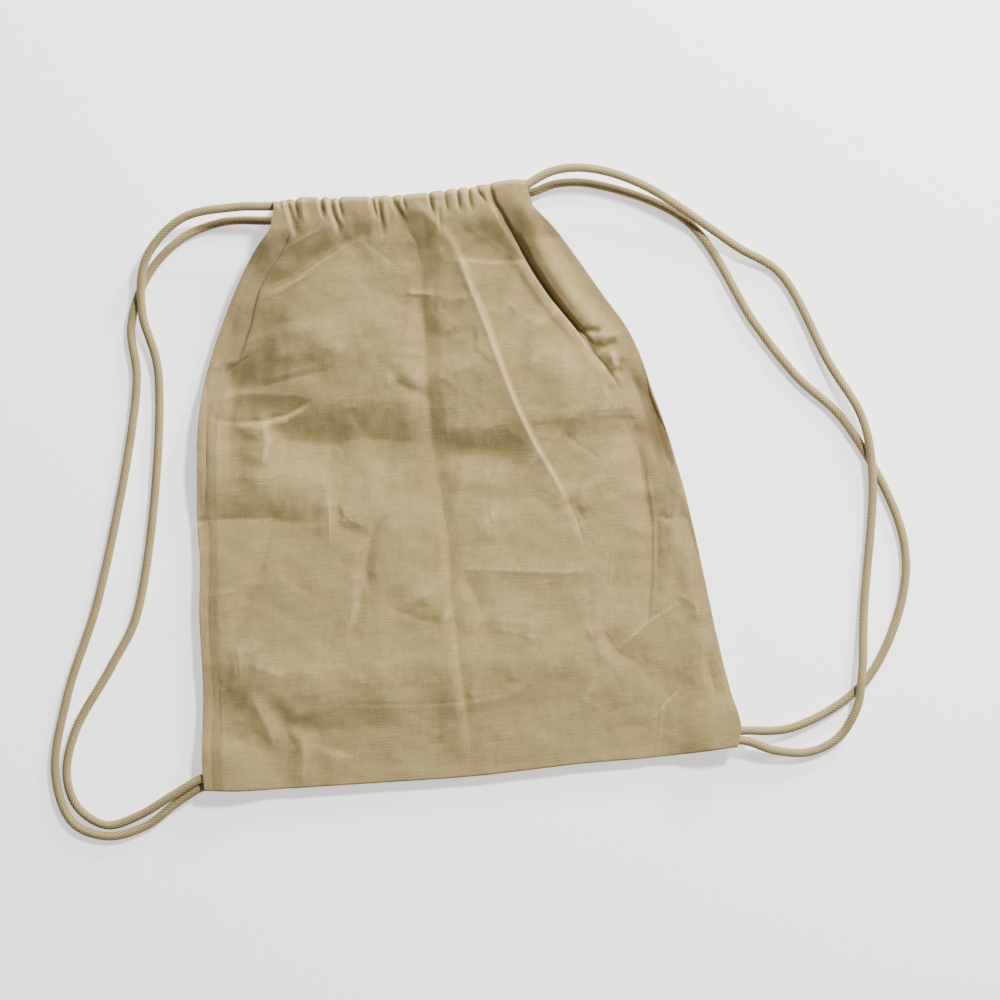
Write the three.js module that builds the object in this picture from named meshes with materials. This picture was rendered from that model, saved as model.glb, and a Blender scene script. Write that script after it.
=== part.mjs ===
// A cotton drawstring backpack lying on its back panel, with its mouth drawn in by two cords.
// Millimetres, +Z up. X runs across the bag and +Y towards its mouth. The origin lies under the
// middle of the cloth, on the surface that the bag rests on. In the tables, "up" is measured
// from the bottom edge of the bag.
import * as THREE from 'three';
import { mergeVertices } from 'three/addons/utils/BufferGeometryUtils.js';

// Cloth
const bagHeight = 420;
const clothThickness = 1.2;
const layerAir = 0.65;
const seamBand = 7;

// Hem at the mouth, with the channel for the cords
const hemDepth = 21;
const stitchUp = 398;
const foldReach = 4;
const wallRise = 4;
const hemTuck = 1.5;
const mouthGap = 5.2;
const backPleatHeight = 1.2;
const innerPleatHeight = 1.0;
const scallop = 1;
// A gather this high has no dip in its fold, and the tallest one bulges inward by the full height
const fullCrest = 4;
const tallestCrest = 5;
// Part of a gather's crest that stays below the stitching, and how far its valleys sink
const pleatShare = 0.8;
const pleatSink = 1;
// Roundness of the gathers: below 1 is fuller than a sine
const crestRoundness = 0.8;

// Cords
const cordDiameter = 6.4;
const cordSides = 8;
const stepsPerStretch = 2;
const cordAir = 0.5;

// Reach of the raised bottom edge, and where the rows start to follow the sagging mouth
const bottomReach = 80;
const sagUp = 300;

// Where the gathers of the mouth start to spread into the body of the bag
const spreadUp = 345;
// Where the side seams end and the two panels part
const seamEndUp = 354;
const loftReach = 58;
const curlReach = 24;
const foldClearance = 2.6;
const clearReach = 7;
// Steepness of the rise beside a seam, and the shares of a fold over which its ends fade
const riseSteepness = 1.3;
const foldFade = 0.25;
const stepFade = 0.3;
// How much wider the step's high side is than its drop
const stepSpread = 3;

// Heights of the middles of the layers at the mouth, counted up from the floor
const layerPitch = clothThickness + layerAir;
const cordRadius = cordDiameter / 2;
const cordSeat = cordRadius + cordAir + clothThickness / 2;
const backOuter = clothThickness / 2;
const backCordHeight = backOuter + backPleatHeight + cordSeat;
const backInner = backCordHeight + cordSeat;
const frontInner = backInner + mouthGap + clothThickness + 2 * innerPleatHeight;
const frontCordHeight = frontInner + cordSeat;
const frontOuter = frontCordHeight + cordSeat;

// Ends of the drawn mouth
const mouthLeft = -101;
const mouthRight = 76.5;

// Sections across the bag, from its bottom edge to the hem. left and right are its edges, the
// columns between them follow its long folds, slitHalf is half the width of the slit beside the
// right strip, seam is the height of the side seams and level that of the front panel.
const sections = [
  { up: 0, left: -190, leftFold: -176, leftMid: -86, centre: 0, ridge: 95, slit: 150, slitHalf: 9,
    right: 187, seam: 8, level: 9 },
  { up: 15, left: -190, leftFold: -176, leftMid: -86, centre: 0, ridge: 95, slit: 149, slitHalf: 9,
    right: 191, seam: 8, level: 10 },
  { up: 42, left: -188, leftFold: -174, leftMid: -86, centre: 0, ridge: 95, slit: 146, slitHalf: 9,
    right: 186, seam: 7.5, level: 11.5 },
  { up: 85, left: -184, leftFold: -171, leftMid: -86, centre: -2, ridge: 94, slit: 141, slitHalf: 9,
    right: 180, seam: 7, level: 12.5 },
  { up: 130, left: -182, leftFold: -168, leftMid: -86, centre: -3, ridge: 93, slit: 142, slitHalf: 9,
    right: 175, seam: 7, level: 12.5 },
  { up: 170, left: -178, leftFold: -165, leftMid: -85, centre: -1, ridge: 89, slit: 145, slitHalf: 8,
    right: 170, seam: 7, level: 12 },
  { up: 200, left: -177, leftFold: -163, leftMid: -83, centre: -4, ridge: 79, slit: 145, slitHalf: 7,
    right: 165, seam: 7, level: 12 },
  { up: 230, left: -174, leftFold: -160, leftMid: -83, centre: -5, ridge: 65, slit: 139, slitHalf: 6,
    right: 159, seam: 7, level: 12.5 },
  { up: 257, left: -171, leftFold: -157, leftMid: -84, centre: -5, ridge: 55, slit: 130, slitHalf: 5,
    right: 152, seam: 7.5, level: 13 },
  { up: 283, left: -166, leftFold: -151, leftMid: -84, centre: -5, ridge: 47, slit: 117, slitHalf: 5,
    right: 146, seam: 8, level: 13.5 },
  { up: 305, left: -159, leftFold: -144, leftMid: -82, centre: -4, ridge: 41, slit: 105, slitHalf: 5,
    right: 138, seam: 8.5, level: 14.5 },
  { up: 331, left: -148, leftFold: -127, leftMid: -75, centre: -3, ridge: 34, slit: 90, slitHalf: 5,
    right: 123, seam: 10, level: 16.4 },
  { up: 358, left: -134, leftFold: -113, leftMid: -66, centre: -2, ridge: 26, slit: 74, slitHalf: 5,
    right: 108, seam: 12.5, level: 20.2 },
  { up: 381, left: -120, leftFold: -98, leftMid: -60, centre: 2, ridge: 19, slit: 64, slitHalf: 4,
    right: 94, seam: 14, level: 23.8 },
  { up: 398, left: mouthLeft, leftFold: -89, leftMid: -57, centre: 5, ridge: 17, slit: 54,
    slitHalf: 4, right: mouthRight, seam: 14.5, level: 26 },
];

// The top edge of the drawn mouth sags a little in the middle.
const mouthEdge = [
  { x: -101, up: 419.4 },
  { x: -62, up: 416.8 },
  { x: -20, up: 413.6 },
  { x: 12, up: 413 },
  { x: 45, up: 415.6 },
  { x: 76.5, up: 417.2 },
];

// The bottom edge rises a little towards both corners.
const bottomEdge = [
  { x: -191, rise: 8.5 },
  { x: -165, rise: 5.5 },
  { x: -120, rise: 3.6 },
  { x: -60, rise: 1.6 },
  { x: 0, rise: 0 },
  { x: 75, rise: 1.5 },
  { x: 130, rise: 1 },
  { x: 191, rise: 3.5 },
];

// Gathers of the front hem from left to right: where each ends, how high it stands and how far
// it runs down into the body.
const frontGathers = [
  { to: -95, height: 3.2, reach: 14 },
  { to: -89, height: 3.4, reach: 20 },
  { to: -83, height: 3.4, reach: 26 },
  { to: -68, height: 4.6, reach: 24 },
  { to: -57, height: 4.2, reach: 30 },
  { to: -33, height: 4.4, reach: 20 },
  { to: -26, height: 3.6, reach: 24 },
  { to: -16, height: 4.8, reach: 30 },
  { to: -10, height: 3.2, reach: 22 },
  { to: 6, height: 4.6, reach: 34 },
  { to: 19, height: 4.4, reach: 36 },
  { to: 27, height: 3.8, reach: 24 },
  { to: 35, height: 3.8, reach: 18 },
  { to: 42, height: 3.4, reach: 16 },
  { to: 51, height: 3.4, reach: 22 },
  { to: mouthRight, height: 1.2, reach: 40 },
];

// Gathers of the back hem, hidden under the bag
const backGathers = [
  { to: -88, height: 1, reach: 24 },
  { to: -71, height: 1, reach: 30 },
  { to: -57, height: 1, reach: 22 },
  { to: -45, height: 1, reach: 34 },
  { to: -29, height: 1, reach: 26 },
  { to: -11, height: 1, reach: 30 },
  { to: 3, height: 1, reach: 24 },
  { to: 15, height: 1, reach: 32 },
  { to: 31, height: 1, reach: 26 },
  { to: 45, height: 1, reach: 22 },
  { to: 59, height: 1, reach: 28 },
  { to: mouthRight, height: 1, reach: 30 },
];
const backPleatDrop = 3;

// Long folds that follow a column of the sections: a step drops on its right side, a trough or
// a ridge (depth below or above 0) is the same on both sides.
const longFolds = [
  { column: 'centre', from: -20, to: 396, depth: -2.2, half: 7 },
  { column: 'leftFold', from: 300, to: 402, depth: -5, half: 6 },
  { column: 'slit', from: 262, to: 384, depth: -9.5, half: 5 },
];
const longStep = { column: 'ridge', from: 190, to: 392, drop: 3, half: 6 };
const stripRoll = { from: 262, to: 400, height: 3.5, offset: 17, half: 13 };

// Creases and soft swellings of the front panel: both ends, depth (below 0) or height, and half
// the width.
const creases = [
  { x1: -124, up1: 258, x2: -30, up2: 240, depth: -2.6, half: 8 },
  { x1: -30, up1: 240, x2: 30, up2: 228, depth: -2.4, half: 8 },
  { x1: -177, up1: 201, x2: -86, up2: 193, depth: -2, half: 7 },
  { x1: -163, up1: 272, x2: -90, up2: 272, depth: 2.2, half: 8 },
  { x1: -119, up1: 353, x2: -43, up2: 387, depth: 2.2, half: 7 },
  { x1: -136, up1: 289, x2: -71, up2: 297, depth: -1.8, half: 7 },
  { x1: -43, up1: 306, x2: -6, up2: 274, depth: -2.2, half: 7 },
  { x1: -82, up1: 216, x2: -86, up2: 155, depth: 2, half: 7 },
  { x1: -43, up1: 190, x2: -58, up2: 141, depth: -2, half: 7 },
  { x1: -65, up1: 148, x2: -75, up2: 119, depth: 1.6, half: 7 },
  { x1: -49, up1: 130, x2: -8, up2: 109, depth: 2, half: 8 },
  { x1: -156, up1: 148, x2: -113, up2: 145, depth: -1.5, half: 7 },
  { x1: -140, up1: 76, x2: -108, up2: 47, depth: -2.6, half: 7 },
  { x1: -121, up1: 45, x2: -121, up2: 6, depth: -1.8, half: 7 },
  { x1: -113, up1: 31, x2: -90, up2: 6, depth: 1.6, half: 8 },
  { x1: 2, up1: 146, x2: 106, up2: 137, depth: -1.8, half: 8 },
  { x1: 16, up1: 133, x2: 24, up2: 104, depth: 1.5, half: 7 },
  { x1: 24, up1: 104, x2: 62, up2: 90, depth: -1.6, half: 7 },
  { x1: 32, up1: 52, x2: 104, up2: 45, depth: 1.8, half: 8 },
  { x1: 92, up1: 242, x2: 149, up2: 243, depth: -1.8, half: 7 },
  { x1: 89, up1: 234, x2: 113, up2: 211, depth: -1.4, half: 7 },
  { x1: 147, up1: 190, x2: 139, up2: 90, depth: -2.4, half: 8 },
  { x1: 154, up1: 114, x2: 148, up2: 50, depth: 1.6, half: 7 },
  { x1: 91, up1: 94, x2: 130, up2: 62, depth: -1.5, half: 7 },
  { x1: 34, up1: 374, x2: 72, up2: 368, depth: -2.6, half: 8 },
  { x1: -22, up1: 402, x2: -5, up2: 374, depth: 2.4, half: 6 },
  { x1: -1, up1: 402, x2: 18, up2: 382, depth: 2.6, half: 6 },
  { x1: 18, up1: 382, x2: 29, up2: 348, depth: 2.2, half: 7 },
  { x1: 28, up1: 355, x2: 70, up2: 352, depth: 1.6, half: 8 },
  { x1: -40, up1: 110, x2: -60, up2: 40, depth: 1.8, half: 26 },
  { x1: 60, up1: 200, x2: 90, up2: 120, depth: 1.6, half: 24 },
  { x1: -130, up1: 230, x2: -120, up2: 120, depth: 1.4, half: 22 },
];

// The corners where the cords are sewn in stand open around them.
const cornerPockets = [
  { x: -184, up: 14, across: 13, height: 11, opening: 11.4, middle: 8.3 },
  { x: 186, up: 11, across: 13, height: 10, opening: 9.4, middle: 11.5 },
];
const pocketFade = 13;

// Cord routes as x, up and z of the cord's middle. Each starts in its lower corner, goes up to
// the front hem, through it, round into the back hem and down to the corner again.
const leftCordRoute = [
  [-177, 17.6, 9.8], [-191, 17, 9.6], [-214, 6.5, 8.2], [-238, -5, 4.8], [-262, -10, 3.35],
  [-281, 4, 3.35], [-287, 27, 3.35], [-278, 58, 3.35], [-247, 103, 3.35], [-226, 138, 3.35],
  [-195, 304, 4.2], [-202, 350, 7.5], [-195, 386, 12], [-167, 411, 17.8], [-130, 415, 22],
  [-101, 412.9, 23.1], [-30, 407.6, 23.1], [14, 406.4, 23.1], [44, 408, 23.1], [50, 408.4, 23],
  [56.4, 407.4, 20.6], [59, 405.3, 14.6], [56.4, 403.3, 8.6], [50, 402.4, 6.2],
  [44, 401.8, 6.1], [14, 399.6, 6.1], [-30, 400.9, 6.1], [-75, 403.6, 6.1], [-91, 403.4, 6.1],
  [-108, 405, 6], [-140, 407, 4.6], [-172, 397, 3.4], [-197, 373, 3.35], [-211, 340, 3.35],
  [-211, 300, 3.35], [-252, 152, 3.35], [-281, 84, 3.35], [-295, 29, 3.35], [-286, -6, 3.35],
  [-262, -18, 3.35], [-234, -13, 3.6], [-212, 0.5, 5], [-191, 10.8, 7.1], [-177, 11.4, 7.1],
];
const rightCordRoute = [
  [177, 7.5, 11.5], [192, 7, 11.2], [214, -2.5, 7.6], [238, -6, 4.4], [259, 2, 4.4],
  [274, 22, 8.4], [280, 47, 9.6], [286, 90, 4.2], [301, 186, 6.8], [297, 226, 10.1],
  [278, 267, 5.4], [250, 333, 3.6], [222, 354, 6.6], [158, 404, 15.6], [122, 418.5, 19.8],
  [97, 419, 22.1], [78, 411.2, 23.1], [66, 403.4, 23.1], [58, 401.3, 23.1], [50, 401.1, 23.1],
  [14, 399.6, 23.1], [-30, 400.8, 23.1], [-79, 404.3, 23.1], [-85, 404.7, 23],
  [-91.4, 405.6, 20.6], [-94, 407.9, 14.6], [-91.4, 409.9, 8.6], [-85, 410.9, 6.2],
  [-79, 410.9, 6.1], [-30, 407.6, 6.1], [14, 406.4, 6.1], [57, 409.8, 6.1], [77, 406.4, 6.1],
  [99, 411.4, 5.2], [126, 408.3, 3.8], [188, 376, 3.35], [229, 299, 3.35], [255, 259, 3.35],
  [285, 225, 3.35], [318, 143, 3.35], [314, 96, 3.35], [281, 39, 3.35], [228, 12.5, 5.4],
  [192, 14, 11.2], [177, 14.5, 11.5],
];

// Colours of the cloth and of the braid
const calico = new THREE.MeshStandardMaterial({ color: 0xb8a982, roughness: 0.92, metalness: 0 });
const calicoBack = new THREE.MeshStandardMaterial({ color: 0xb1a27c, roughness: 0.92, metalness: 0 });
const braid = new THREE.MeshStandardMaterial({ color: 0xac9a70, roughness: 0.9, metalness: 0 });

const clamp01 = (t) => Math.min(1, Math.max(0, t));
const mix = (a, b, t) => a + (b - a) * t;
const smooth = (t) => clamp01(t) ** 2 * (3 - 2 * clamp01(t));

// Reads one column of a table at a place between its rows, on a smooth curve through the rows.
function readTable(rows, key, column, at) {
  const last = rows.length - 2;
  let row = 0;
  while (row < last && rows[row + 1][key] < at) {
    row += 1;
  }
  const [low, high] = [rows[row], rows[row + 1]];
  const span = high[key] - low[key];
  const slopeAt = (i) => {
    const before = rows[Math.max(0, i - 1)];
    const after = rows[Math.min(rows.length - 1, i + 1)];
    return (after[column] - before[column]) / (after[key] - before[key]);
  };
  const t = clamp01((at - low[key]) / span);
  const bend = t * (1 - t) * span;
  const line = mix(low[column], high[column], smooth(t));
  return line + bend * ((1 - t) * slopeAt(row) - t * slopeAt(row + 1));
}

const acrossAt = (column, up) => readTable(sections, 'up', column, up);
const topAt = (x) => readTable(mouthEdge, 'x', 'up', x);
const stitchAt = (x) => topAt(x) - hemDepth;

// One panel's gathers: where column u (0 to 1) stands at the mouth, and its crest there.
function makeGathers(rows) {
  const borders = [mouthLeft, ...rows.map((gather) => gather.to)];
  const locate = (u) => {
    const scaled = u * rows.length;
    const index = Math.min(rows.length - 1, Math.floor(scaled + 1e-9));
    return { index, share: scaled - index };
  };
  return {
    count: rows.length,
    x: (u) => {
      const { index, share } = locate(u);
      return mix(borders[index], borders[index + 1], share);
    },
    crest: (u) => {
      const { index, share } = locate(u);
      return rows[index].height * Math.sin(Math.PI * clamp01(share)) ** crestRoundness;
    },
    reach: (u) => rows[locate(u).index].reach,
  };
}

// Where the columns of a panel run between the long folds. share is the column's place from the
// left edge (0) to the right edge (1).
const frontColumns = [
  { share: 0, place: (up) => acrossAt('left', up) },
  { share: 1 / 32, place: (up) => acrossAt('left', up) + seamBand },
  { share: 4 / 32, place: (up) => acrossAt('leftFold', up) },
  { share: 10 / 32, place: (up) => acrossAt('leftMid', up) },
  { share: 16 / 32, place: (up) => acrossAt('centre', up) },
  { share: 22 / 32, place: (up) => acrossAt('ridge', up) },
  { share: 27 / 32, place: (up) => acrossAt('slit', up) - acrossAt('slitHalf', up) },
  { share: 28 / 32, place: (up) => acrossAt('slit', up) },
  { share: 29 / 32, place: (up) => acrossAt('slit', up) + acrossAt('slitHalf', up) },
  { share: 31 / 32, place: (up) => acrossAt('right', up) - seamBand },
  { share: 1, place: (up) => acrossAt('right', up) },
];
const backColumns = [
  { share: 0, place: (up) => acrossAt('left', up) },
  { share: 1 / 24, place: (up) => acrossAt('left', up) + seamBand },
  { share: 4 / 24, place: (up) => acrossAt('left', up) + seamBand + curlReach },
  { share: 12 / 24, place: (up) => acrossAt('centre', up) },
  { share: 20 / 24, place: (up) => acrossAt('right', up) - seamBand - curlReach },
  { share: 23 / 24, place: (up) => acrossAt('right', up) - seamBand },
  { share: 1, place: (up) => acrossAt('right', up) },
];

// Place across the bag of column u at a height below the hem: on the long folds low down, and
// on the gathers, spread over the bag's width there, near the hem.
function columnX(columns, gathers, u, up) {
  let next = 1;
  while (next < columns.length - 1 && columns[next].share < u) {
    next += 1;
  }
  const [a, b] = [columns[next - 1], columns[next]];
  const t = (u - a.share) / (b.share - a.share);
  const inBody = mix(a.place(up), b.place(up), t);
  const [left, right] = [acrossAt('left', up), acrossAt('right', up)];
  const share = (gathers.x(u) - mouthLeft) / (mouthRight - mouthLeft);
  return mix(inBody, mix(left, right, share), smooth((up - spreadUp) / (stitchUp - spreadUp)));
}

// Soft rise of 0 to 1 from a seam into the panel
function riseFrom(distance, reach) {
  const t = clamp01((distance - seamBand) / reach);
  return Math.sin(t * Math.PI / 2) ** riseSteepness;
}

// How far the two panels have parted above the ends of the side seams, 0 to 1
const partedAt = (up) => smooth((up - seamEndUp) / (stitchUp - seamEndUp));

// Product of the rises from the left, right and bottom seams
function insideSeams(x, up, reach) {
  const fromLeft = riseFrom(x - acrossAt('left', up), reach);
  const fromRight = riseFrom(acrossAt('right', up) - x, reach);
  return fromLeft * fromRight * riseFrom(up, reach);
}

// Weight of 0 to 1 of a corner pocket around the ends of the cords
function pocketWeight(pocket, x, up) {
  const acrossWeight = smooth((pocket.across + pocketFade - Math.abs(x - pocket.x)) / pocketFade);
  const upWeight = smooth((pocket.height + pocketFade - Math.abs(up - pocket.up)) / pocketFade);
  return acrossWeight * upWeight;
}

// Height of the middle of the back panel: flat on the floor, and turned up to its seams
function backHeight(x, up) {
  const curl = (1 - insideSeams(x, up, curlReach)) * (1 - partedAt(up));
  let height = mix(backOuter, acrossAt('seam', up) - layerPitch / 2, curl);
  for (const pocket of cornerPockets) {
    const floor = Math.max(backOuter, pocket.middle - pocket.opening / 2);
    height = mix(height, floor, pocketWeight(pocket, x, up));
  }
  return height;
}

// Bell of a fold: 1 on its line, 0 far from it
const bell = (distance, half) => Math.exp(-((distance / half) ** 2));
const fadeEnds = (t, edge) => smooth(t / edge) * smooth((1 - t) / edge);

// Sum of the long folds at a point of the front panel
function longFoldHeight(x, up) {
  let height = 0;
  for (const fold of longFolds) {
    const t = (up - fold.from) / (fold.to - fold.from);
    height += fold.depth * bell(x - acrossAt(fold.column, up), fold.half) * fadeEnds(t, foldFade);
  }
  const tStep = (up - longStep.from) / (longStep.to - longStep.from);
  const beside = (x - acrossAt(longStep.column, up)) / longStep.half;
  const raised = bell(Math.min(0, beside), stepSpread) * (1 - smooth(beside / 2 + 0.5));
  height += longStep.drop * raised * fadeEnds(tStep, stepFade);
  const tRoll = (up - stripRoll.from) / (stripRoll.to - stripRoll.from);
  const rollMiddle = acrossAt('slit', up) + stripRoll.offset;
  height += stripRoll.height * bell(x - rollMiddle, stripRoll.half) * fadeEnds(tRoll, foldFade);
  return height;
}

// Height that one crease adds at a point
function creaseHeight(crease, x, up) {
  const along = new THREE.Vector2(crease.x2 - crease.x1, crease.up2 - crease.up1);
  const offset = new THREE.Vector2(x - crease.x1, up - crease.up1);
  const t = offset.dot(along) / along.lengthSq();
  const nearest = along.clone().multiplyScalar(clamp01(t));
  const overrun = Math.max(0, Math.abs(t - 0.5) - 0.5) * along.length();
  const side = offset.sub(nearest).length();
  return crease.depth * bell(Math.hypot(side, overrun), crease.half);
}

// Height of the middle of the front panel below the hem
function frontHeight(x, up) {
  const below = backHeight(x, up);
  const risen = 1 - (1 - insideSeams(x, up, loftReach)) * (1 - partedAt(up));
  let height = mix(below + layerPitch, acrossAt('level', up), risen);
  let relief = longFoldHeight(x, up);
  for (const crease of creases) {
    relief += creaseHeight(crease, x, up);
  }
  height += relief * risen;
  for (const pocket of cornerPockets) {
    height = mix(height, pocket.middle + pocket.opening / 2, pocketWeight(pocket, x, up));
  }
  return Math.max(height, below + layerPitch + foldClearance * insideSeams(x, up, clearReach));
}

// Puts a point of the tables into the bag's own frame.
const place = (x, up, z) => new THREE.Vector3(x, up - bagHeight / 2, z);

// Height above the bottom edge of a row of the body: rows follow the raised bottom edge low
// down and the sagging stitch line near the hem.
function bodyUp(x, up) {
  const low = readTable(bottomEdge, 'x', 'rise', x) * (1 - smooth(up / bottomReach));
  const high = (stitchAt(x) - stitchUp) * smooth((up - sagUp) / (stitchUp - sagUp));
  return up + low + high;
}

// Rows of a panel below the hem. The last few stand closer, where the gathers are.
const bodyRows = [0, seamBand, 14, 22, 32, 44, 56, 70, 85, 100, 115, 130, 144, 158, 172, 186, 200,
  214, 228, 242, 256, 270, 285, 300, 315, 330, spreadUp];
const gatherRows = [357, 368, 379, 389];
const hemRows = [0, 0.16, 0.32, 0.66, 1];
const foldAngles = [45, 0, -45];

// The body part of a panel as rows of points. pleat gives what the gathers add at a column: it
// fades down the bag, and towards the seams where both panels lie flat on each other.
function bodyRow(up, shares, shape) {
  return shares.map((u) => {
    const x = columnX(shape.columns, shape.gathers, u, up);
    const free = 1 - (1 - insideSeams(x, up, loftReach)) * (1 - partedAt(up));
    const fade = free * Math.exp(-(stitchUp - up) / shape.gathers.reach(u));
    return place(x, bodyUp(x, up), shape.height(x, up) + shape.pleat(u) * fade);
  });
}

// The hem as rows of points: up its outer wall, over the fold and down its inner wall. side is
// 1 on the front panel and -1 on the back panel, whose outer wall lies underneath.
function hemRowsOf(shares, shape) {
  const foldUp = (u) => {
    const x = shape.gathers.x(u);
    const dip = scallop * (1 - shape.gathers.crest(u) / fullCrest);
    return topAt(x) - clothThickness / 2 - foldReach - Math.max(0, dip);
  };
  const wall = (u, t, far, start) => {
    const x = shape.gathers.x(u);
    const up = mix(stitchAt(x), foldUp(u), t);
    const climb = smooth((up - stitchAt(x)) / wallRise);
    return place(x, up, mix(start, far, climb));
  };
  const stitchZ = (u) => shape.height(shape.gathers.x(u), stitchUp) + shape.pleat(u);
  const outerRows = hemRows.map((t) => shares.map((u) => wall(u, t, shape.outer(u), stitchZ(u))));
  const foldRows = foldAngles.map((degrees) => shares.map((u) => {
    const angle = THREE.MathUtils.degToRad(degrees);
    const middle = (shape.outer(u) + shape.inner(u)) / 2;
    const half = (shape.outer(u) - shape.inner(u)) / 2;
    const up = foldUp(u) + foldReach * Math.cos(angle);
    return place(shape.gathers.x(u), up, middle + half * Math.sin(angle));
  }));
  const tuckZ = (u) => stitchZ(u) - shape.side * layerPitch;
  const innerRows = hemRows.slice(1).reverse()
    .map((t) => shares.map((u) => wall(u, t, shape.inner(u), tuckZ(u))));
  const endRow = shares.map((u) => {
    const x = shape.gathers.x(u);
    return place(x, stitchAt(x) - hemTuck, tuckZ(u));
  });
  return { outerRows, foldRows, innerRows: [...innerRows, endRow] };
}

const toArray = (points) => new Float32Array(points.flatMap((point) => point.toArray()));

// Joins rows of points into one open sheet. A row may have twice the points of the row before
// it. lastFold is the last row of the hem's fold, and keep says
// which columns beyond it are cloth: the inner wall ends a little short.
function joinRows(rows, side, lastFold, keep) {
  const points = rows.flat();
  const starts = [];
  let count = 0;
  for (const row of rows) {
    starts.push(count);
    count += row.length;
  }
  const index = [];
  const addTriangle = (a, b, c) => index.push(...(side > 0 ? [a, b, c] : [a, c, b]));
  for (let r = 0; r < rows.length - 1; r += 1) {
    const [low, high] = [starts[r], starts[r + 1]];
    const cells = rows[r].length - 1;
    const doubled = rows[r + 1].length > rows[r].length;
    for (let c = 0; c < cells; c += 1) {
      if (r >= lastFold && !keep(c / cells, (c + 1) / cells)) {
        continue;
      }
      if (doubled) {
        addTriangle(low + c, high + 2 * c + 1, high + 2 * c);
        addTriangle(low + c, low + c + 1, high + 2 * c + 1);
        addTriangle(low + c + 1, high + 2 * c + 2, high + 2 * c + 1);
      } else {
        addTriangle(low + c, low + c + 1, high + c + 1);
        addTriangle(low + c, high + c + 1, high + c);
      }
    }
  }
  const sheet = new THREE.BufferGeometry();
  sheet.setAttribute('position', new THREE.BufferAttribute(toArray(points), 3));
  sheet.setIndex(index);
  return sheet;
}

// Gives an open sheet its thickness: half to each side, and a rim along every free edge.
function thicken(sheet, thickness) {
  sheet.computeVertexNormals();
  const position = sheet.getAttribute('position');
  const normal = sheet.getAttribute('normal');
  const index = [...sheet.getIndex().array];
  const used = [...new Set(index)];
  const slot = new Map(used.map((vertex, i) => [vertex, i]));
  const pointOf = (vertex, offset) => new THREE.Vector3().fromBufferAttribute(position, vertex)
    .addScaledVector(new THREE.Vector3().fromBufferAttribute(normal, vertex), offset);
  const outer = used.map((vertex) => pointOf(vertex, thickness / 2));
  const inner = used.map((vertex) => pointOf(vertex, -thickness / 2));
  const under = used.length;
  const faces = [];
  const edges = new Map();
  for (let i = 0; i < index.length; i += 3) {
    const [a, b, c] = index.slice(i, i + 3).map((vertex) => slot.get(vertex));
    faces.push(a, b, c, under + a, under + c, under + b);
    for (const [from, to] of [[a, b], [b, c], [c, a]]) {
      if (!edges.delete(`${to} ${from}`)) {
        edges.set(`${from} ${to}`, [from, to]);
      }
    }
  }
  for (const [from, to] of edges.values()) {
    faces.push(to, from, under + from, to, under + from, under + to);
  }
  const solid = new THREE.BufferGeometry();
  solid.setAttribute('position', new THREE.BufferAttribute(toArray([...outer, ...inner]), 3));
  solid.setIndex(faces);
  return solid;
}

// One panel of the bag with its hem
function makePanel(name, shape, material) {
  const sharesOf = (cells) => Array.from({ length: cells + 1 }, (_, i) => i / cells);
  const coarse = sharesOf(shape.gathers.count * 2);
  const fine = sharesOf(shape.gathers.count * 4);
  const hem = hemRowsOf(fine, shape);
  const body = shape.rows.map((up) => bodyRow(up, coarse, shape));
  const neck = gatherRows.map((up) => bodyRow(up, fine, shape));
  const rows = [...body, ...neck, ...hem.outerRows, ...hem.foldRows, ...hem.innerRows];
  const lastFold = body.length + neck.length + hem.outerRows.length + hem.foldRows.length - 1;
  const sheet = joinRows(rows, shape.side, lastFold, shape.keep);
  const mesh = new THREE.Mesh(thicken(sheet, clothThickness), material);
  mesh.name = name;
  return mesh;
}

// The inner walls of both hems end inside the turns of the cords.
const innerWallEnds = { left: -84, right: 49 };
const keepInner = (gathers) => (a, b) => gathers.x(a) >= innerWallEnds.left - 0.01
  && gathers.x(b) <= innerWallEnds.right + 0.01;

const frontFolds = makeGathers(frontGathers);
const backFolds = makeGathers(backGathers);
const frontShape = {
  side: 1,
  rows: bodyRows,
  columns: frontColumns,
  gathers: frontFolds,
  height: frontHeight,
  pleat: (u) => pleatShare * frontFolds.crest(u) - pleatSink,
  outer: (u) => frontOuter + frontFolds.crest(u),
  inner: (u) => frontInner - innerPleatHeight * frontFolds.crest(u) / tallestCrest,
  keep: keepInner(frontFolds),
};
const backShape = {
  side: -1,
  rows: bodyRows.filter((up, i) => i < 4 || i % 2 === 0),
  columns: backColumns,
  gathers: backFolds,
  height: backHeight,
  pleat: (u) => backPleatDrop * (1 - backFolds.crest(u)),
  outer: (u) => backOuter + backPleatHeight * (1 - backFolds.crest(u)),
  inner: (u) => backInner + innerPleatHeight * backFolds.crest(u),
  keep: keepInner(backFolds),
};

// A route whose steps follow its points, so that tight turns get short steps
class CordRoute extends THREE.CatmullRomCurve3 {
  getUtoTmapping(u) {
    return u;
  }
}

// One cord as a tube along its route
function makeCord(name, route) {
  const path = new CordRoute(route.map(([x, up, z]) => place(x, up, z)), false, 'centripetal');
  const corners = Array.from({ length: cordSides }, (_, i) => {
    const angle = (i + 0.5) * 2 * Math.PI / cordSides;
    return new THREE.Vector2(cordRadius * Math.cos(angle), cordRadius * Math.sin(angle));
  });
  const tube = new THREE.ExtrudeGeometry(new THREE.Shape(corners), {
    steps: (route.length - 1) * stepsPerStretch,
    extrudePath: path,
  });
  tube.deleteAttribute('normal');
  tube.deleteAttribute('uv');
  const mesh = new THREE.Mesh(mergeVertices(tube), braid);
  mesh.name = name;
  return mesh;
}

const bag = new THREE.Group();
bag.add(makePanel('front_panel', frontShape, calico));
bag.add(makePanel('back_panel', backShape, calicoBack));
bag.add(makeCord('cord_left', leftCordRoute));
bag.add(makeCord('cord_right', rightCordRoute));

export default bag;
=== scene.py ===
import math

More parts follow.
